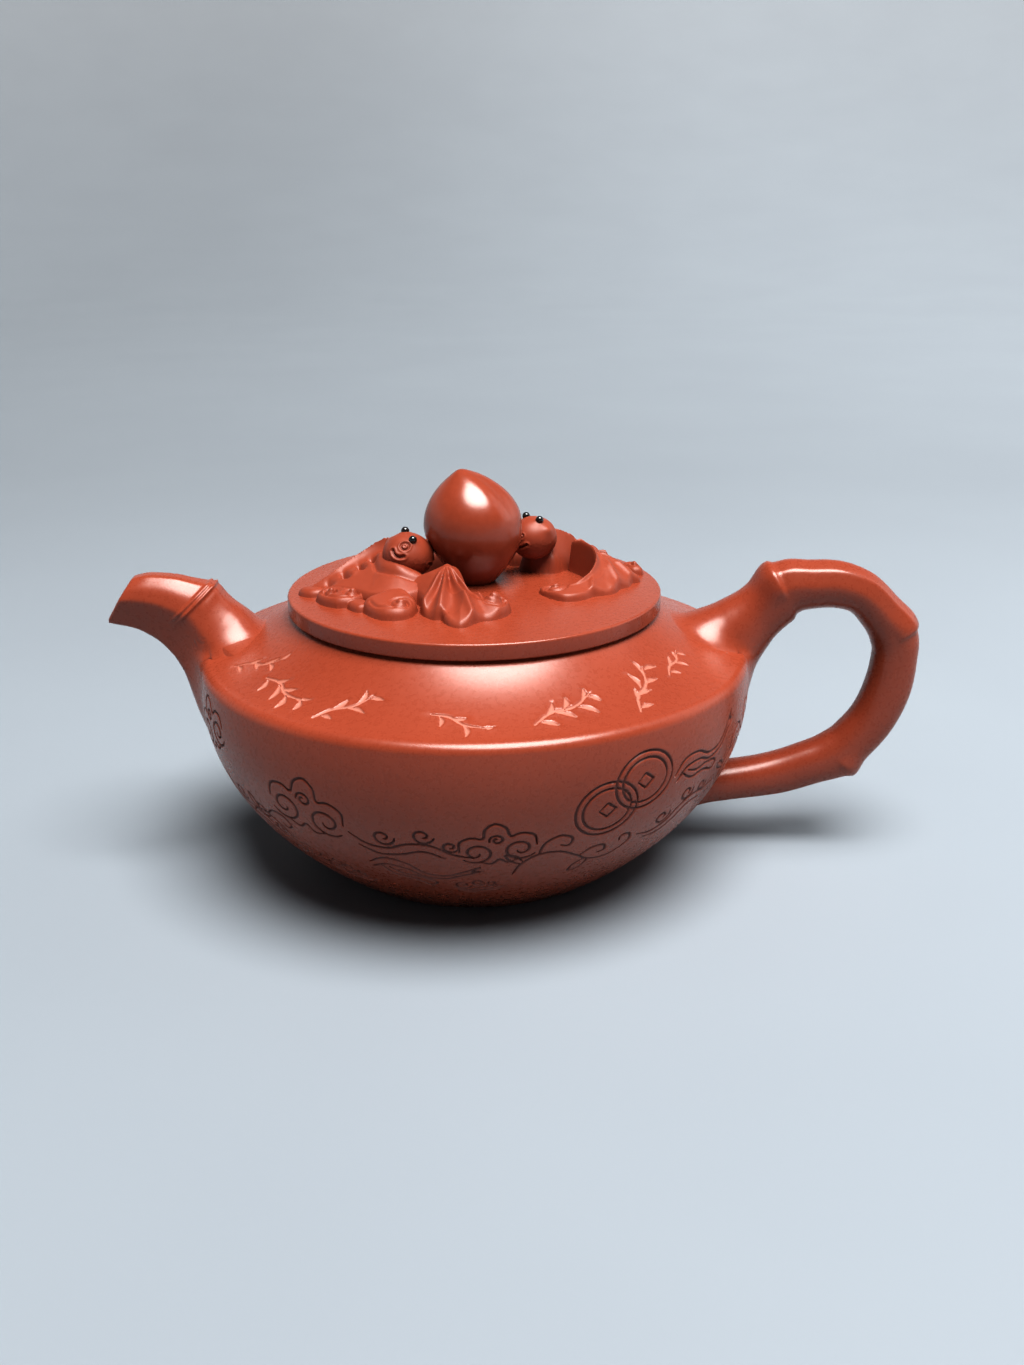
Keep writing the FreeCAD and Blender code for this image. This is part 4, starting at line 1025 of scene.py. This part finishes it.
def relief(name, height, box, step, nodes, sharp=60):
    x0, x1, y0, y1 = box
    xs, ys = np.arange(x0, x1 + step / 2, step), np.arange(y0, y1 + step / 2, step)
    X, Y = np.meshgrid(xs, ys, indexing="ij")
    h = np.maximum(height(X, Y), -0.55)
    cell = np.maximum(np.maximum(h[:-1, :-1], h[1:, :-1]), np.maximum(h[:-1, 1:], h[1:, 1:])) > -0.4
    nx, ny = X.shape
    idx = np.arange(nx * ny).reshape(nx, ny)
    top = np.stack([X, Y, lid_z(X, Y) + h], -1).reshape(-1, 3)
    bot = np.stack([X, Y, lid_z(X, Y) - 0.9], -1).reshape(-1, 3)
    a, b, c, d = idx[:-1, :-1][cell], idx[1:, :-1][cell], idx[1:, 1:][cell], idx[:-1, 1:][cell]
    # each cell is split along its flatter diagonal
    hz = top[:, 2]
    alt = np.abs(hz[a] - hz[c]) > np.abs(hz[b] - hz[d])
    t1 = np.where(alt[:, None], np.stack([a, b, d], -1), np.stack([a, b, c], -1))
    t2 = np.where(alt[:, None], np.stack([b, c, d], -1), np.stack([a, c, d], -1))
    off = nx * ny
    tris = [t1, t2, t1[:, ::-1] + off, t2[:, ::-1] + off]
    pad = np.pad(cell, 1)
    for (di, dj), (p, q) in {(0, -1): ((0, 0), (1, 0)), (1, 0): ((1, 0), (1, 1)),
                             (0, 1): ((1, 1), (0, 1)), (-1, 0): ((0, 1), (0, 0))}.items():
        edge = cell & ~pad[1 + di:1 + di + cell.shape[0], 1 + dj:1 + dj + cell.shape[1]]
        i, j = np.where(edge)
        e0, e1 = idx[i + p[0], j + p[1]], idx[i + q[0], j + q[1]]
        tris += [np.stack([e0, e0 + off, e1 + off], -1), np.stack([e0, e1 + off, e1], -1)]
    t = np.vstack(tris)
    used, inv = np.unique(t, return_inverse=True)
    v = np.vstack([top, bot])[used]
    return piece(name, v, inv.reshape(-1, 3), "lid", nodes, MODELLED, sharp=sharp)


def fan(X, Y, outline, apex, high, edge, ribs, power, crest=0.55, sag=0.5):
    """Wing membrane: from a high wrist down to a thick scalloped edge, with
    raised ribs and hollows between them."""
    sd = sd_poly(X, Y, outline)
    dx, dy = X - apex[0], Y - apex[1]
    rho = np.hypot(dx, dy)
    ins = np.maximum(-sd, 0)
    t = ins / (ins + rho + 1e-6)
    h = edge + (high - edge) * np.clip(t, 0, 1) ** power
    span = smooth(0.05, 0.5, 1 - t)
    for rx, ry in ribs:
        d, share, _ = sd_line(X, Y, [apex, (rx, ry)])
        h = h + crest * bell(d, 0.42 + 0.45 * share) * span
    ra = sorted(math.atan2(ry - apex[1], rx - apex[0]) for rx, ry in ribs)
    th = np.arctan2(dy, dx)
    for a0, a1 in zip(ra[:-1], ra[1:]):
        if a1 - a0 < 2.0:
            u = np.clip((th - a0) / (a1 - a0), 0, 1)
            h = h - sag * np.sin(PI * u) ** 2 * span * ((th > a0) & (th < a1))
    lipw = np.minimum(rim(sd, 0.9, 1.0), 1.0)
    return np.where(sd > 0, -2.2 * sd, h * lipw)


# the left bat's spread front wing
LFW = ring([(-10.0, -22.2), (-8.7, -24.6), (-6.9, -26.1), (-6.0, -26.0), (-5.2, -27.8), (-3.6, -29.9), (-2.1, -30.6),
            (-0.6, -29.9), (0.9, -28.1), (2.4, -26.9), (3.8, -26.6), (6.0, -25.0), (7.4, -22.7), (7.7, -20.2), (6.6, -18.2),
            (4.6, -17.5), (2.6, -18.2), (1.0, -17.6), (-0.4, -14.6), (-1.6, -11.4), (-3.2, -9.2), (-5.4, -8.4), (-8.4, -8.0),
            (-11.6, -8.2), (-14.4, -10.0), (-14.0, -12.8), (-11.8, -15.0), (-10.4, -18.0)], 0.35)


def left_front_wing(X, Y):
    h = fan(X, Y, LFW, (-5.2, -11.2), 8.0, 1.55, [(-9.9, -22.6), (-6.1, -26.2), (0.6, -28.6), (1.2, -19.0)], 0.80, 0.75, 0.90)
    # the arm runs from the wrist back to the shoulder beside the head
    q, sh, _ = sd_line(X, Y, through([(-5.2, -11.2), (-8.6, -10.8), (-11.4, -11.0), (-13.6, -11.4)], 0.4))
    arm = (6.7 - 4.8 * sh - 0.20 * q * q) * rim(sd_poly(X, Y, LFW), 1.2, 1.0)
    h = np.where(h > 0, smax(h, arm, 1.2), h)
    # blunt wrist
    h = smin(h, np.full(h.shape, 7.0), 2.2)
    h = h + curl(X, Y, (4.6, -21.0), 2.7, 40, -1, 0.75, 0.85)
    d, share, _ = sd_line(X, Y, through([(-3.6, -10.4), (-1.9, -13.6), (-0.4, -17.2), (1.2, -20.0), (3.0, -23.4), (5.6, -23.6), (6.6, -21.0)], 0.5))
    return h - 0.35 * bell(d, 0.30) * smooth(0.0, 0.3, share)


relief("left_bat_front_wing_fan", left_front_wing, (-15.6, 9.0, -32.0, -6.8), 0.19, ["left_bat_front_wing"])

# cloud lobes along the left bat's front
LL = [ring([(-36.3, -5.0), (-35.2, -7.6), (-33.0, -8.7), (-31.0, -8.2), (-30.2, -6.4), (-32.0, -4.6), (-34.6, -3.8)], 0.35),
      ring([(-32.0, -10.4), (-31.0, -13.3), (-29.0, -15.6), (-27.0, -16.9), (-25.0, -16.9), (-22.6, -15.4), (-21.2, -12.6),
            (-22.2, -10.4), (-26.0, -8.2), (-30.0, -7.8)], 0.35),
      ring([(-25.0, -16.6), (-24.0, -18.8), (-22.5, -20.2), (-20.6, -19.8), (-20.2, -17.4), (-22.0, -15.2)], 0.35),
      ring([(-21.7, -19.2), (-20.6, -21.8), (-19.0, -24.0), (-16.9, -25.5), (-14.2, -25.8), (-12.2, -24.8), (-11.0, -22.4),
            (-10.8, -19.6), (-12.0, -16.4), (-14.4, -12.6), (-17.0, -13.6), (-19.4, -16.0), (-21.2, -17.6)], 0.35)]


def left_lobes(X, Y):
    h = np.full(X.shape, -3.0)
    for o, hi, w in zip(LL, (1.5, 2.3, 1.5, 2.5), (1.6, 2.0, 1.3, 2.2)):
        sd = sd_poly(X, Y, o)
        g = rim(sd, w, hi)
        h = np.maximum(h, g)
    rise = 0.10 * np.clip(Y + 22, 0, 9) * (sd_poly(X, Y, LL[3]) < -0.3)
    h = h + rise
    for c, r, a0, hand in (((-13.9, -22.0), 2.3, 60, -1), ((-24.2, -13.3), 1.9, 70, -1), ((-28.6, -12.2), 1.6, 60, -1)):
        h = h + curl(X, Y, c, r, a0, hand, 0.75, 0.75) * (h > 0)
    for ln, dep in ((through([(-20.0, -20.4), (-18.4, -23.0), (-15.6, -24.2), (-12.8, -23.8)], 0.4), 0.30),
                    (through([(-30.8, -11.6), (-29.0, -14.2), (-26.6, -15.6), (-24.2, -15.4)], 0.4), 0.25)):
        d, _, _ = sd_line(X, Y, ln)
        h = h - dep * bell(d, 0.28)
    return h


relief("left_bat_cloud_lobes_curled", left_lobes, (-37.2, -9.6, -27.0, -3.0), 0.20, ["left_bat_cloud_lobes"])

# the left bat's back: a ridge from the head to the tail, with soft ribs
LSP = through([(-12.4, -3.6), (-15.5, -0.6), (-19.5, 0.9), (-24.0, -0.4), (-29.0, -3.6), (-34.0, -5.6)], 0.5)
LBO = ring([(-8.2, -9.4), (-9.4, -4.0), (-11.6, 0.6), (-15.0, 3.6), (-20.0, 4.8), (-25.0, 3.0), (-30.0, -0.8), (-34.6, -4.4),
            (-34.0, -6.6), (-30.2, -8.8), (-25.6, -11.4), (-21.0, -15.4), (-16.6, -17.4), (-12.4, -16.8), (-8.8, -13.6)], 0.4)


def left_back(X, Y):
    sd = sd_poly(X, Y, LBO)
    d, share, side = sd_line(X, Y, LSP)
    top = pchip([-34, -30.6, -27.3, -23.1, -17.7, -15.06, -12.4], [1.3, 3.1, 5.0, 7.2, 9.6, 9.6, 9.0], X.ravel()).reshape(X.shape)
    ins = np.maximum(-sd, 0)
    # the front flank sweeps down to a thick edge that the lobes take up
    ridge = np.interp(X, [-34, -29, -24, -19.5, -15.5, -12.4, -8], [-5.6, -3.6, -0.4, 0.9, -0.6, -3.6, -5.0])
    low_edge = smooth(1.0, 6.0, ridge - Y) * np.minimum(1.9, 0.55 * top)
    h = low_edge + (top - low_edge) * (ins / (ins + d * 1.20 + 1e-6)) ** 0.86
    # rounded ribs down the front flank with notches between
    for (ax, ay), (bx, by), dep in (((-30.2, -5.2), (-28.4, -7.4), 0.6), ((-27.2, -4.0), (-25.0, -7.4), 1.25),
                                    ((-24.0, -2.8), (-22.0, -6.0), 1.35), ((-21.4, -1.8), (-19.6, -4.8), 1.25)):
        ln = through([(ax, ay), ((ax + bx) / 2 - 0.5, (ay + by) / 2 - 0.3), (bx, by)], 0.3)
        q, sh, _ = sd_line(X, Y, ln)
        h = h - dep * bell(q, 0.58) * np.sin(PI * np.clip(0.06 + 0.94 * sh, 0, 1))
        q2, sh2, _ = sd_line(X, Y, ln + [1.4, 0.5])
        h = h + 0.24 * bell(q2, 0.9) * np.sin(PI * sh2)
    # rolled collar that runs round the head and down beside the wing
    q, sh, _ = sd_line(X, Y, through([(-19.4, -3.4), (-18.6, -6.6), (-16.2, -9.2), (-12.6, -10.4), (-9.8, -10.6)], 0.4))
    h = h + 0.60 * bell(q, 1.25)
    q, sh, _ = sd_line(X, Y, through([(-20.6, -5.0), (-19.4, -8.4), (-16.6, -11.0), (-12.8, -12.2), (-10.0, -12.0)], 0.4))
    h = h - 0.60 * bell(q, 0.50)
    return np.where(sd > 0, -2.0 * sd, np.minimum(h, h * rim(sd, 1.0, 1.0)))


relief("left_bat_back_ribbed", left_back, (-36.0, -7.2, -18.4, 5.8), 0.20, ["left_bat_body"])

# ---- the right bat
RFW = ring([(13.4, -8.4), (14.2, -10.9), (15.9, -12.9), (18.5, -14.5), (20.9, -13.9), (22.6, -12.7), (24.4, -10.6), (26.8, -9.4),
            (29.0, -7.6), (30.3, -4.6), (32.4, -2.2), (33.4, 0.6), (35.0, 1.9), (34.2, 4.6), (31.4, 7.2), (28.0, 9.2), (24.6, 10.2),
            (21.6, 10.4), (20.2, 9.4), (21.0, 7.4), (22.8, 4.4), (23.8, 0.6), (23.4, -3.4), (21.6, -6.4), (18.8, -7.2), (15.8, -6.6),
            (14.2, -6.9)], 0.35)
RCR = through([(21.0, 9.0), (22.6, 7.0), (24.6, 3.8), (25.6, 0.2), (25.0, -3.8), (22.9, -7.2), (20.2, -9.4), (17.4, -10.0)], 0.4)


def right_front_wing(X, Y):
    sd = sd_poly(X, Y, RFW)
    d, share, side = sd_line(X, Y, RCR)
    top = np.interp(share, [0, 0.12, 0.3, 0.5, 0.68, 0.85, 1], [6.4, 7.1, 6.7, 5.2, 3.4, 2.2, 1.9])
    ins = np.maximum(-sd, 0)
    t = ins / (ins + d + 1e-6)
    out = 1.35 + (top - 1.35) * np.clip(t, 0, 1) ** 0.85
    hollow = top - np.maximum(d - 0.25, 0) * top / 1.25
    h = np.where(side > 0, out, np.maximum(hollow, 1.2 * (sd < 0)))
    fade = smooth(0.05, 0.5, 1 - t)
    apex = np.array((21.4, 7.6))
    for rx, ry in ((24.4, -10.8), (30.2, -4.6), (33.4, 0.8), (32.6, 5.2)):
        q, sh, _ = sd_line(X, Y, through([apex, (apex + [rx, ry]) / 2 + [0.9, 0.9], (rx, ry)], 0.5))
        h = h + 0.55 * bell(q, 0.40 + 0.4 * sh) * fade * (side > 0)
    for rx, ry in ((27.4, -8.4), (31.8, -1.8), (33.6, 3.0)):
        q, sh, _ = sd_line(X, Y, through([apex + [1.0, -1.0], (apex + [rx, ry]) / 2 + [1.0, 1.0], (rx, ry)], 0.5))
        h = h - 0.50 * bell(q, 0.6 + 0.9 * sh) * fade * (side > 0)
    h = h + 0.35 * bell(d, 0.35) * (1 - smooth(0.75, 1, share))
    h = h + curl(X, Y, (16.6, -9.6), 2.3, 20, 1, 0.75, 0.8)
    return np.where(sd > 0, -2.2 * sd, h * rim(sd, 0.8, 1.0))


relief("right_bat_front_wing_fan", right_front_wing, (12.6, 36.2, -15.6, 11.4), 0.19, ["right_bat_front_wing"])

RBO = ring([(9.4, 9.0), (11.8, 7.0), (14.8, 5.9), (17.4, 6.2), (19.0, 8.4), (21.6, 11.0), (26.0, 11.0), (31.0, 10.2), (33.4, 10.8),
            (32.6, 13.4), (28.0, 16.4), (20.0, 16.6), (13.0, 14.2), (9.4, 10.4)], 0.4)
RSP = through([(12.0, 7.6), (15.4, 10.6), (20.0, 12.8), (26.0, 12.9), (31.6, 11.8)], 0.5)


def right_back(X, Y):
    sd = sd_poly(X, Y, RBO)
    d, share, side = sd_line(X, Y, RSP)
    top = pchip([0, 0.15, 0.27, 0.54, 0.78, 1], [7.6, 8.8, 8.8, 6.8, 4.2, 1.6], share.ravel()).reshape(X.shape)
    ins = np.maximum(-sd, 0)
    h = top * (ins / (ins + d * 0.8 + 1e-6)) ** 0.75
    for (ax, ay), (bx, by) in (((22.0, 13.4), (21.0, 16.0)), ((24.6, 13.4), (24.2, 15.8)), ((27.2, 13.0), (27.2, 15.4))):
        q, sh, _ = sd_line(X, Y, [(ax, ay), (bx, by)])
        h = h - 0.8 * bell(q, 0.5)
    # small folded paw under the chin
    q = np.hypot((X - 16.8), (Y - 7.6))
    h = smax(h, 3.4 * np.sqrt(np.clip(1 - (q / 2.0) ** 2, 0, 1)) - 0.2, 1.4)
    return np.where(sd > 0, -2.0 * sd, np.minimum(h, h * rim(sd, 1.0, 1.0)))


relief("right_bat_back_ribbed", right_back, (7.6, 34.6, 1.8, 17.6), 0.21, ["right_bat_body"])

RTL = ring([(32.0, 9.6), (34.2, 7.4), (36.0, 7.9), (36.3, 10.4), (34.9, 13.6), (33.0, 13.4), (31.6, 11.6)], 0.35)


def right_tail(X, Y):
    sd = sd_poly(X, Y, RTL)
    return rim(sd, 1.7, 1.9) + curl(X, Y, (34.4, 10.4), 1.6, 200, 1, 0.55, 0.5) * (sd < 0)


relief("right_bat_tail_curled", right_tail, (30.8, 37.2, 6.6, 14.6), 0.20, ["right_bat_tail"])

LRW = ring([(-8.4, 8.4), (-5.6, 11.4), (-3.8, 16.0), (-2.8, 21.5), (-4.2, 26.6), (-7.2, 30.4), (-9.6, 31.4), (-11.6, 29.4),
            (-14.2, 29.6), (-17.4, 27.4), (-19.0, 24.8), (-21.6, 23.6), (-23.8, 20.5), (-24.4, 17.6), (-26.2, 14.4), (-27.4, 9.8),
            (-26.0, 6.6), (-20.0, 6.2), (-13.5, 4.8)], 0.4)


def left_rear_wing(X, Y):
    h = fan(X, Y, LRW, (-9.0, 12.6), 6.6, 1.5, [(-4.0, 26.6), (-11.6, 29.6), (-19.0, 24.9), (-24.4, 17.6), (-26.0, 8.0)], 0.85, 0.7, 0.7)
    return h + curl(X, Y, (-5.6, 24.4), 2.4, 240, 1, 0.6, 0.7)


relief("left_bat_rear_wing_fan", left_rear_wing, (-28.6, -1.8, 3.8, 32.6), 0.22, ["left_bat_rear_wing"])

RRW = ring([(8.4, 12.0), (12.4, 15.4), (19.0, 18.2), (26.0, 18.8), (29.6, 18.6), (27.6, 22.4), (25.2, 24.0), (23.8, 26.6), (20.2, 28.8),
            (17.8, 28.8), (15.8, 31.0), (12.2, 32.4), (9.4, 31.4), (6.6, 32.2), (3.8, 29.8), (2.4, 25.0), (3.2, 20.0), (5.4, 15.2)], 0.4)


def right_rear_wing(X, Y):
    h = fan(X, Y, RRW, (9.2, 17.0), 6.6, 1.5, [(3.0, 27.0), (9.4, 31.6), (17.6, 29.0), (25.0, 24.2), (28.6, 19.4)], 0.85, 0.7, 0.7)
    return h + curl(X, Y, (5.4, 26.6), 2.3, 280, -1, 0.6, 0.7)


relief("right_bat_rear_wing_fan", right_rear_wing, (1.4, 31.0, 10.8, 33.6), 0.22, ["right_bat_rear_wing"])


# --------------------------------------------------------------------- heads
def head(name, centre, radius, look, grooves, bumps, nodes, stretch=(1.08, 1.0, 0.98)):
    """A moulded head: a ball drawn out along its look direction, with brows,
    cheeks and incised lines.  All directions are in the shared frame."""
    f = np.array(look, float)
    f /= np.linalg.norm(f)
    u = np.array((0, 0, 1.0)) - f * f[2]
    u /= np.linalg.norm(u)
    axes = np.stack([f, np.cross(u, f), u])
    nt_, np_ = 130, 220
    th = np.linspace(0, PI, nt_)
    ph = np.arange(np_) * 2 * PI / np_
    loc = np.stack([np.cos(th)[:, None] * np.ones(np_), np.sin(th)[:, None] * np.cos(ph),
                    np.sin(th)[:, None] * np.sin(ph)], -1).reshape(-1, 3)
    flat = loc @ axes
    r = np.full(len(flat), float(radius))
    for b, w, hgt in bumps:
        b = np.array(b, float)
        b /= np.linalg.norm(b)
        r = r + hgt * bell(np.arccos(np.clip(flat @ b, -1, 1)), w)
    cut = np.zeros(len(flat))
    for pts, w, dep in grooves:
        g = through(pts, 0.03)
        g /= np.linalg.norm(g, axis=1)[:, None]
        q = np.arccos(np.clip(flat @ g.T, -1, 1)).min(1)
        r = r - dep * bell(q, w) + 0.40 * dep * bell(q - 2.0 * w, w)
        # painted shade: the colour is darkened along the incised lines
        cut = np.maximum(cut, 0.40 * bell(q, w * 0.8))
    # hand-dabbed stipple on the lower half
    stip = (np.sin(flat[:, 0] * 41 + 3 * np.sin(flat[:, 2] * 23)) * np.sin(flat[:, 1] * 37 + 2.2 * np.sin(flat[:, 0] * 29))
            * np.sin(flat[:, 2] * 43 + 2.6 * np.sin(flat[:, 1] * 31)))
    r = r + 0.10 * stip * smooth(0.30, -0.20, flat[:, 2])
    p = loc * r[:, None] * np.array(stretch)
    v = np.array(centre) + p @ axes
    v, t, ex = weld(v, tri_grid(nt_, np_, False, True), {"cut": cut})
    return piece(name, v, t, "lid", nodes, MODELLED, attrs={"cut_painted_shade": ex["cut"]}, sharp=80)


def loop(c, rad, n=26):
    """Small circle of directions round direction c."""
    c = np.array(c, float)
    c /= np.linalg.norm(c)
    a = np.cross(c, (0, 0, 1.0))
    a /= np.linalg.norm(a)
    b = np.cross(c, a)
    t = np.linspace(0, 2 * PI, n)
    return [tuple(c + rad * (math.cos(x) * a + math.sin(x) * b)) for x in t]


LE = [np.array(d) / np.linalg.norm(d) for d in ((1.3, -2.7, 3.8), (-0.4, 1.0, 4.75))]
RE = [np.array(d) / np.linalg.norm(d) for d in ((1.1, -1.9, 4.15), (-1.6, 1.26, 4.3))]
head("left_bat_head_moulded", (-13.6, -4.4, 66.6), 4.80, (0.93, 0.34, -0.10),
     [(loop((-0.02, -0.79, 0.61), 0.165), 0.042, 0.30),
      ([(-0.50, -0.76, 0.41), (-0.45, -0.84, 0.28), (-0.34, -0.91, 0.20), (-0.20, -0.95, 0.17), (-0.06, -0.97, 0.20)], 0.062, 0.44),
      ([(0.80, -0.46, -0.24), (0.90, -0.12, -0.30), (0.90, 0.36, -0.24)], 0.045, 0.28)],
     [((0.9, 0.30, -0.12), 0.55, 0.30), (LE[0], 0.24, 0.28), (LE[1], 0.24, 0.28),
      ((-0.15, -0.95, 0.0), 0.40, 0.30), ((0.55, -0.80, -0.05), 0.40, 0.20), ((-0.72, 0.42, 0.52), 0.26, 0.55)],
     ["left_bat_head"])
head("right_bat_head_moulded", (12.6, 7.0, 67.4), 4.60, (-0.84, -0.52, -0.10),
     [([(-0.30, -0.93, -0.10), (-0.52, -0.82, -0.22), (-0.80, -0.54, -0.28), (-0.95, -0.15, -0.24), (-0.93, 0.2, -0.1)], 0.055, 0.40),
      (loop((-0.52, -0.80, 0.28), 0.085), 0.036, 0.18), (loop((-0.88, -0.28, 0.30), 0.085), 0.036, 0.18)],
     [((-0.84, -0.52, -0.06), 0.50, 0.28), (RE[0], 0.24, 0.26), (RE[1], 0.24, 0.26),
      ((0.60, -0.62, 0.48), 0.24, 0.45), ((0.10, 0.85, 0.50), 0.24, 0.45)],
     ["right_bat_head"])

for n_ in ("left_bat_eyes", "right_bat_eyes"):
    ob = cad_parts[n_]
    ob.data.materials.clear()
    ob.data.materials.append(BEAD)
    ob.data.shade_smooth()
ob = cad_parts["spout_strainer"]
ob.data.materials.clear()
ob.data.materials.append(CLAY)

# -------------------------------------------------------------- floor, light
def stage_material():
    mat = bpy.data.materials.new("pale_paper")
    mat.use_nodes = True
    nt = mat.node_tree
    bs = nt.nodes["Principled BSDF"]
    co = nt.nodes.new("ShaderNodeTexCoord")
    n = node(nt, "ShaderNodeTexNoise", Scale=9.0, Detail=2.0)
    nt.links.new(co.outputs["Object"], n.inputs["Vector"])
    ramp = nt.nodes.new("ShaderNodeValToRGB")
    e = ramp.color_ramp.elements
    e[0].position, e[0].color = 0.3, (0.258, 0.286, 0.316, 1)
    e[1].position, e[1].color = 0.7, (0.266, 0.295, 0.325, 1)
    nt.links.new(n.outputs["Fac"], ramp.inputs["Fac"])
    # painted shade: the paper's colour is a little darker to the left and towards the back, and dark far out in front
    xyz = nt.nodes.new("ShaderNodeSeparateXYZ")
    nt.links.new(co.outputs["Object"], xyz.inputs["Vector"])
    shade = None
    for axis, lo, hi, a, b in (("X", -0.55, 0.55, 0.66, 1.00), ("Y", -1.1, -0.25, 0.22, 1.0),
                               ("Y", 0.0, 0.45, 1.0, 0.79), ("Y", 0.45, 3.0, 1.0, 0.80)):
        mr = nt.nodes.new("ShaderNodeMapRange")
        mr.interpolation_type = "SMOOTHSTEP"
        for k, val in (("From Min", lo), ("From Max", hi), ("To Min", a), ("To Max", b)):
            mr.inputs[k].default_value = val
        nt.links.new(xyz.outputs[axis], mr.inputs["Value"])
        if shade is None:
            shade = mr.outputs["Result"]
        else:
            mul = nt.nodes.new("ShaderNodeMath")
            mul.operation = "MULTIPLY"
            nt.links.new(shade, mul.inputs[0])
            nt.links.new(mr.outputs["Result"], mul.inputs[1])
            shade = mul.outputs[0]
    paper_colour_with_painted_shade = nt.nodes.new("ShaderNodeVectorMath")
    paper_colour_with_painted_shade.operation = "SCALE"
    nt.links.new(ramp.outputs["Color"], paper_colour_with_painted_shade.inputs[0])
    nt.links.new(shade, paper_colour_with_painted_shade.inputs["Scale"])
    nt.links.new(paper_colour_with_painted_shade.outputs[0], bs.inputs["Base Color"])
    bs.inputs["Roughness"].default_value = 0.62
    return mat


q = np.linspace(0, PI / 2, 40)
prof = np.vstack([[(0, 0), (200, 0), (600, 0), (1000, 0), (1300, 0)], np.stack([1300 + 2300 * np.sin(q), 2300 * (1 - np.cos(q))], -1)[1:], [(3600, 2700)]])
ph = np.arange(96) * 2 * PI / 96
fv = np.stack([prof[None, :, 0] * np.sin(ph)[:, None], -prof[None, :, 0] * np.cos(ph)[:, None],
               np.broadcast_to(prof[None, :, 1], (96, len(prof)))], -1).reshape(-1, 3)
fv, ft = weld(fv, tri_grid(96, len(prof), True, False))
fm = mesh_of("paper_sweep", fv, ft)
fm.materials.append(stage_material())
fm.shade_smooth()
floor = bpy.data.objects.new("paper_sweep", fm)
floor.location = (0, 0, -0.00002)
scene.collection.objects.link(floor)


def area(name, loc, aim, sx, sy, watts, colour):
    l = bpy.data.lights.new(name, "AREA")
    l.shape, l.size, l.size_y, l.energy, l.color = "RECTANGLE", sx, sy, watts, colour
    o = bpy.data.objects.new(name, l)
    scene.collection.objects.link(o)
    o.location = loc
    o.rotation_mode = "QUATERNION"
    o.rotation_quaternion = (Vector(aim) - Vector(loc)).to_track_quat("-Z", "Y")
    return o


key = bpy.data.lights.new("overhead_key", "SUN")
key.energy, key.angle, key.color = 8.4, math.radians(44), (1.0, 0.985, 0.965)
ko = bpy.data.objects.new("overhead_key", key)
scene.collection.objects.link(ko)
ko.rotation_mode = "QUATERNION"
ko.rotation_quaternion = Vector((-0.16, 0.22, -0.962)).to_track_quat("-Z", "Y")
area("right_fill", (1.1, 0.35, 0.70), (0, 0, 0.05), 0.8, 1.0, 2.5, (0.93, 0.97, 1.0))
world = bpy.data.worlds.new("soft_room")
world.use_nodes = True
wt = world.node_tree
bg = wt.nodes["Background"]
wc = wt.nodes.new("ShaderNodeTexCoord")
wx = wt.nodes.new("ShaderNodeSeparateXYZ")
wr = wt.nodes.new("ShaderNodeMapRange")
wr.inputs["From Min"].default_value, wr.inputs["From Max"].default_value = -1.0, 1.0
wr.inputs["To Min"].default_value, wr.inputs["To Max"].default_value = 0.04, 0.16
wt.links.new(wc.outputs["Generated"], wx.inputs["Vector"])
wt.links.new(wx.outputs["X"], wr.inputs["Value"])
wt.links.new(wr.outputs["Result"], bg.inputs["Strength"])
bg.inputs["Color"].default_value = (0.84, 0.92, 1.0, 1)
scene.world = world
scene.view_settings.view_transform = "Standard"
scene.view_settings.gamma = 0.76
scene.view_settings.exposure = 0.13

# -------------------------------------------------------------------- camera
cam = bpy.data.cameras.new("camera")
cam.sensor_fit, cam.sensor_width, cam.lens = "AUTO", 36.0, 36.92
cam.clip_start, cam.clip_end = 0.005, 20.0
co = bpy.data.objects.new("camera", cam)
scene.collection.objects.link(co)
eye, aim = Vector((0.007754, -0.28441, 0.13957)), Vector((0.00775, 0, 0.03707))
back = (eye - aim).normalized()
right = Vector((0, 0, 1)).cross(back).normalized()
upv = back.cross(right)
roll = math.radians(-0.31)
rx = right * math.cos(roll) + upv * math.sin(roll)
ry = back.cross(rx)
co.matrix_world = Matrix(((rx.x, ry.x, back.x, eye.x), (rx.y, ry.y, back.y, eye.y), (rx.z, ry.z, back.z, eye.z), (0, 0, 0, 1)))
scene.camera = co

bpy.context.view_layer.update()
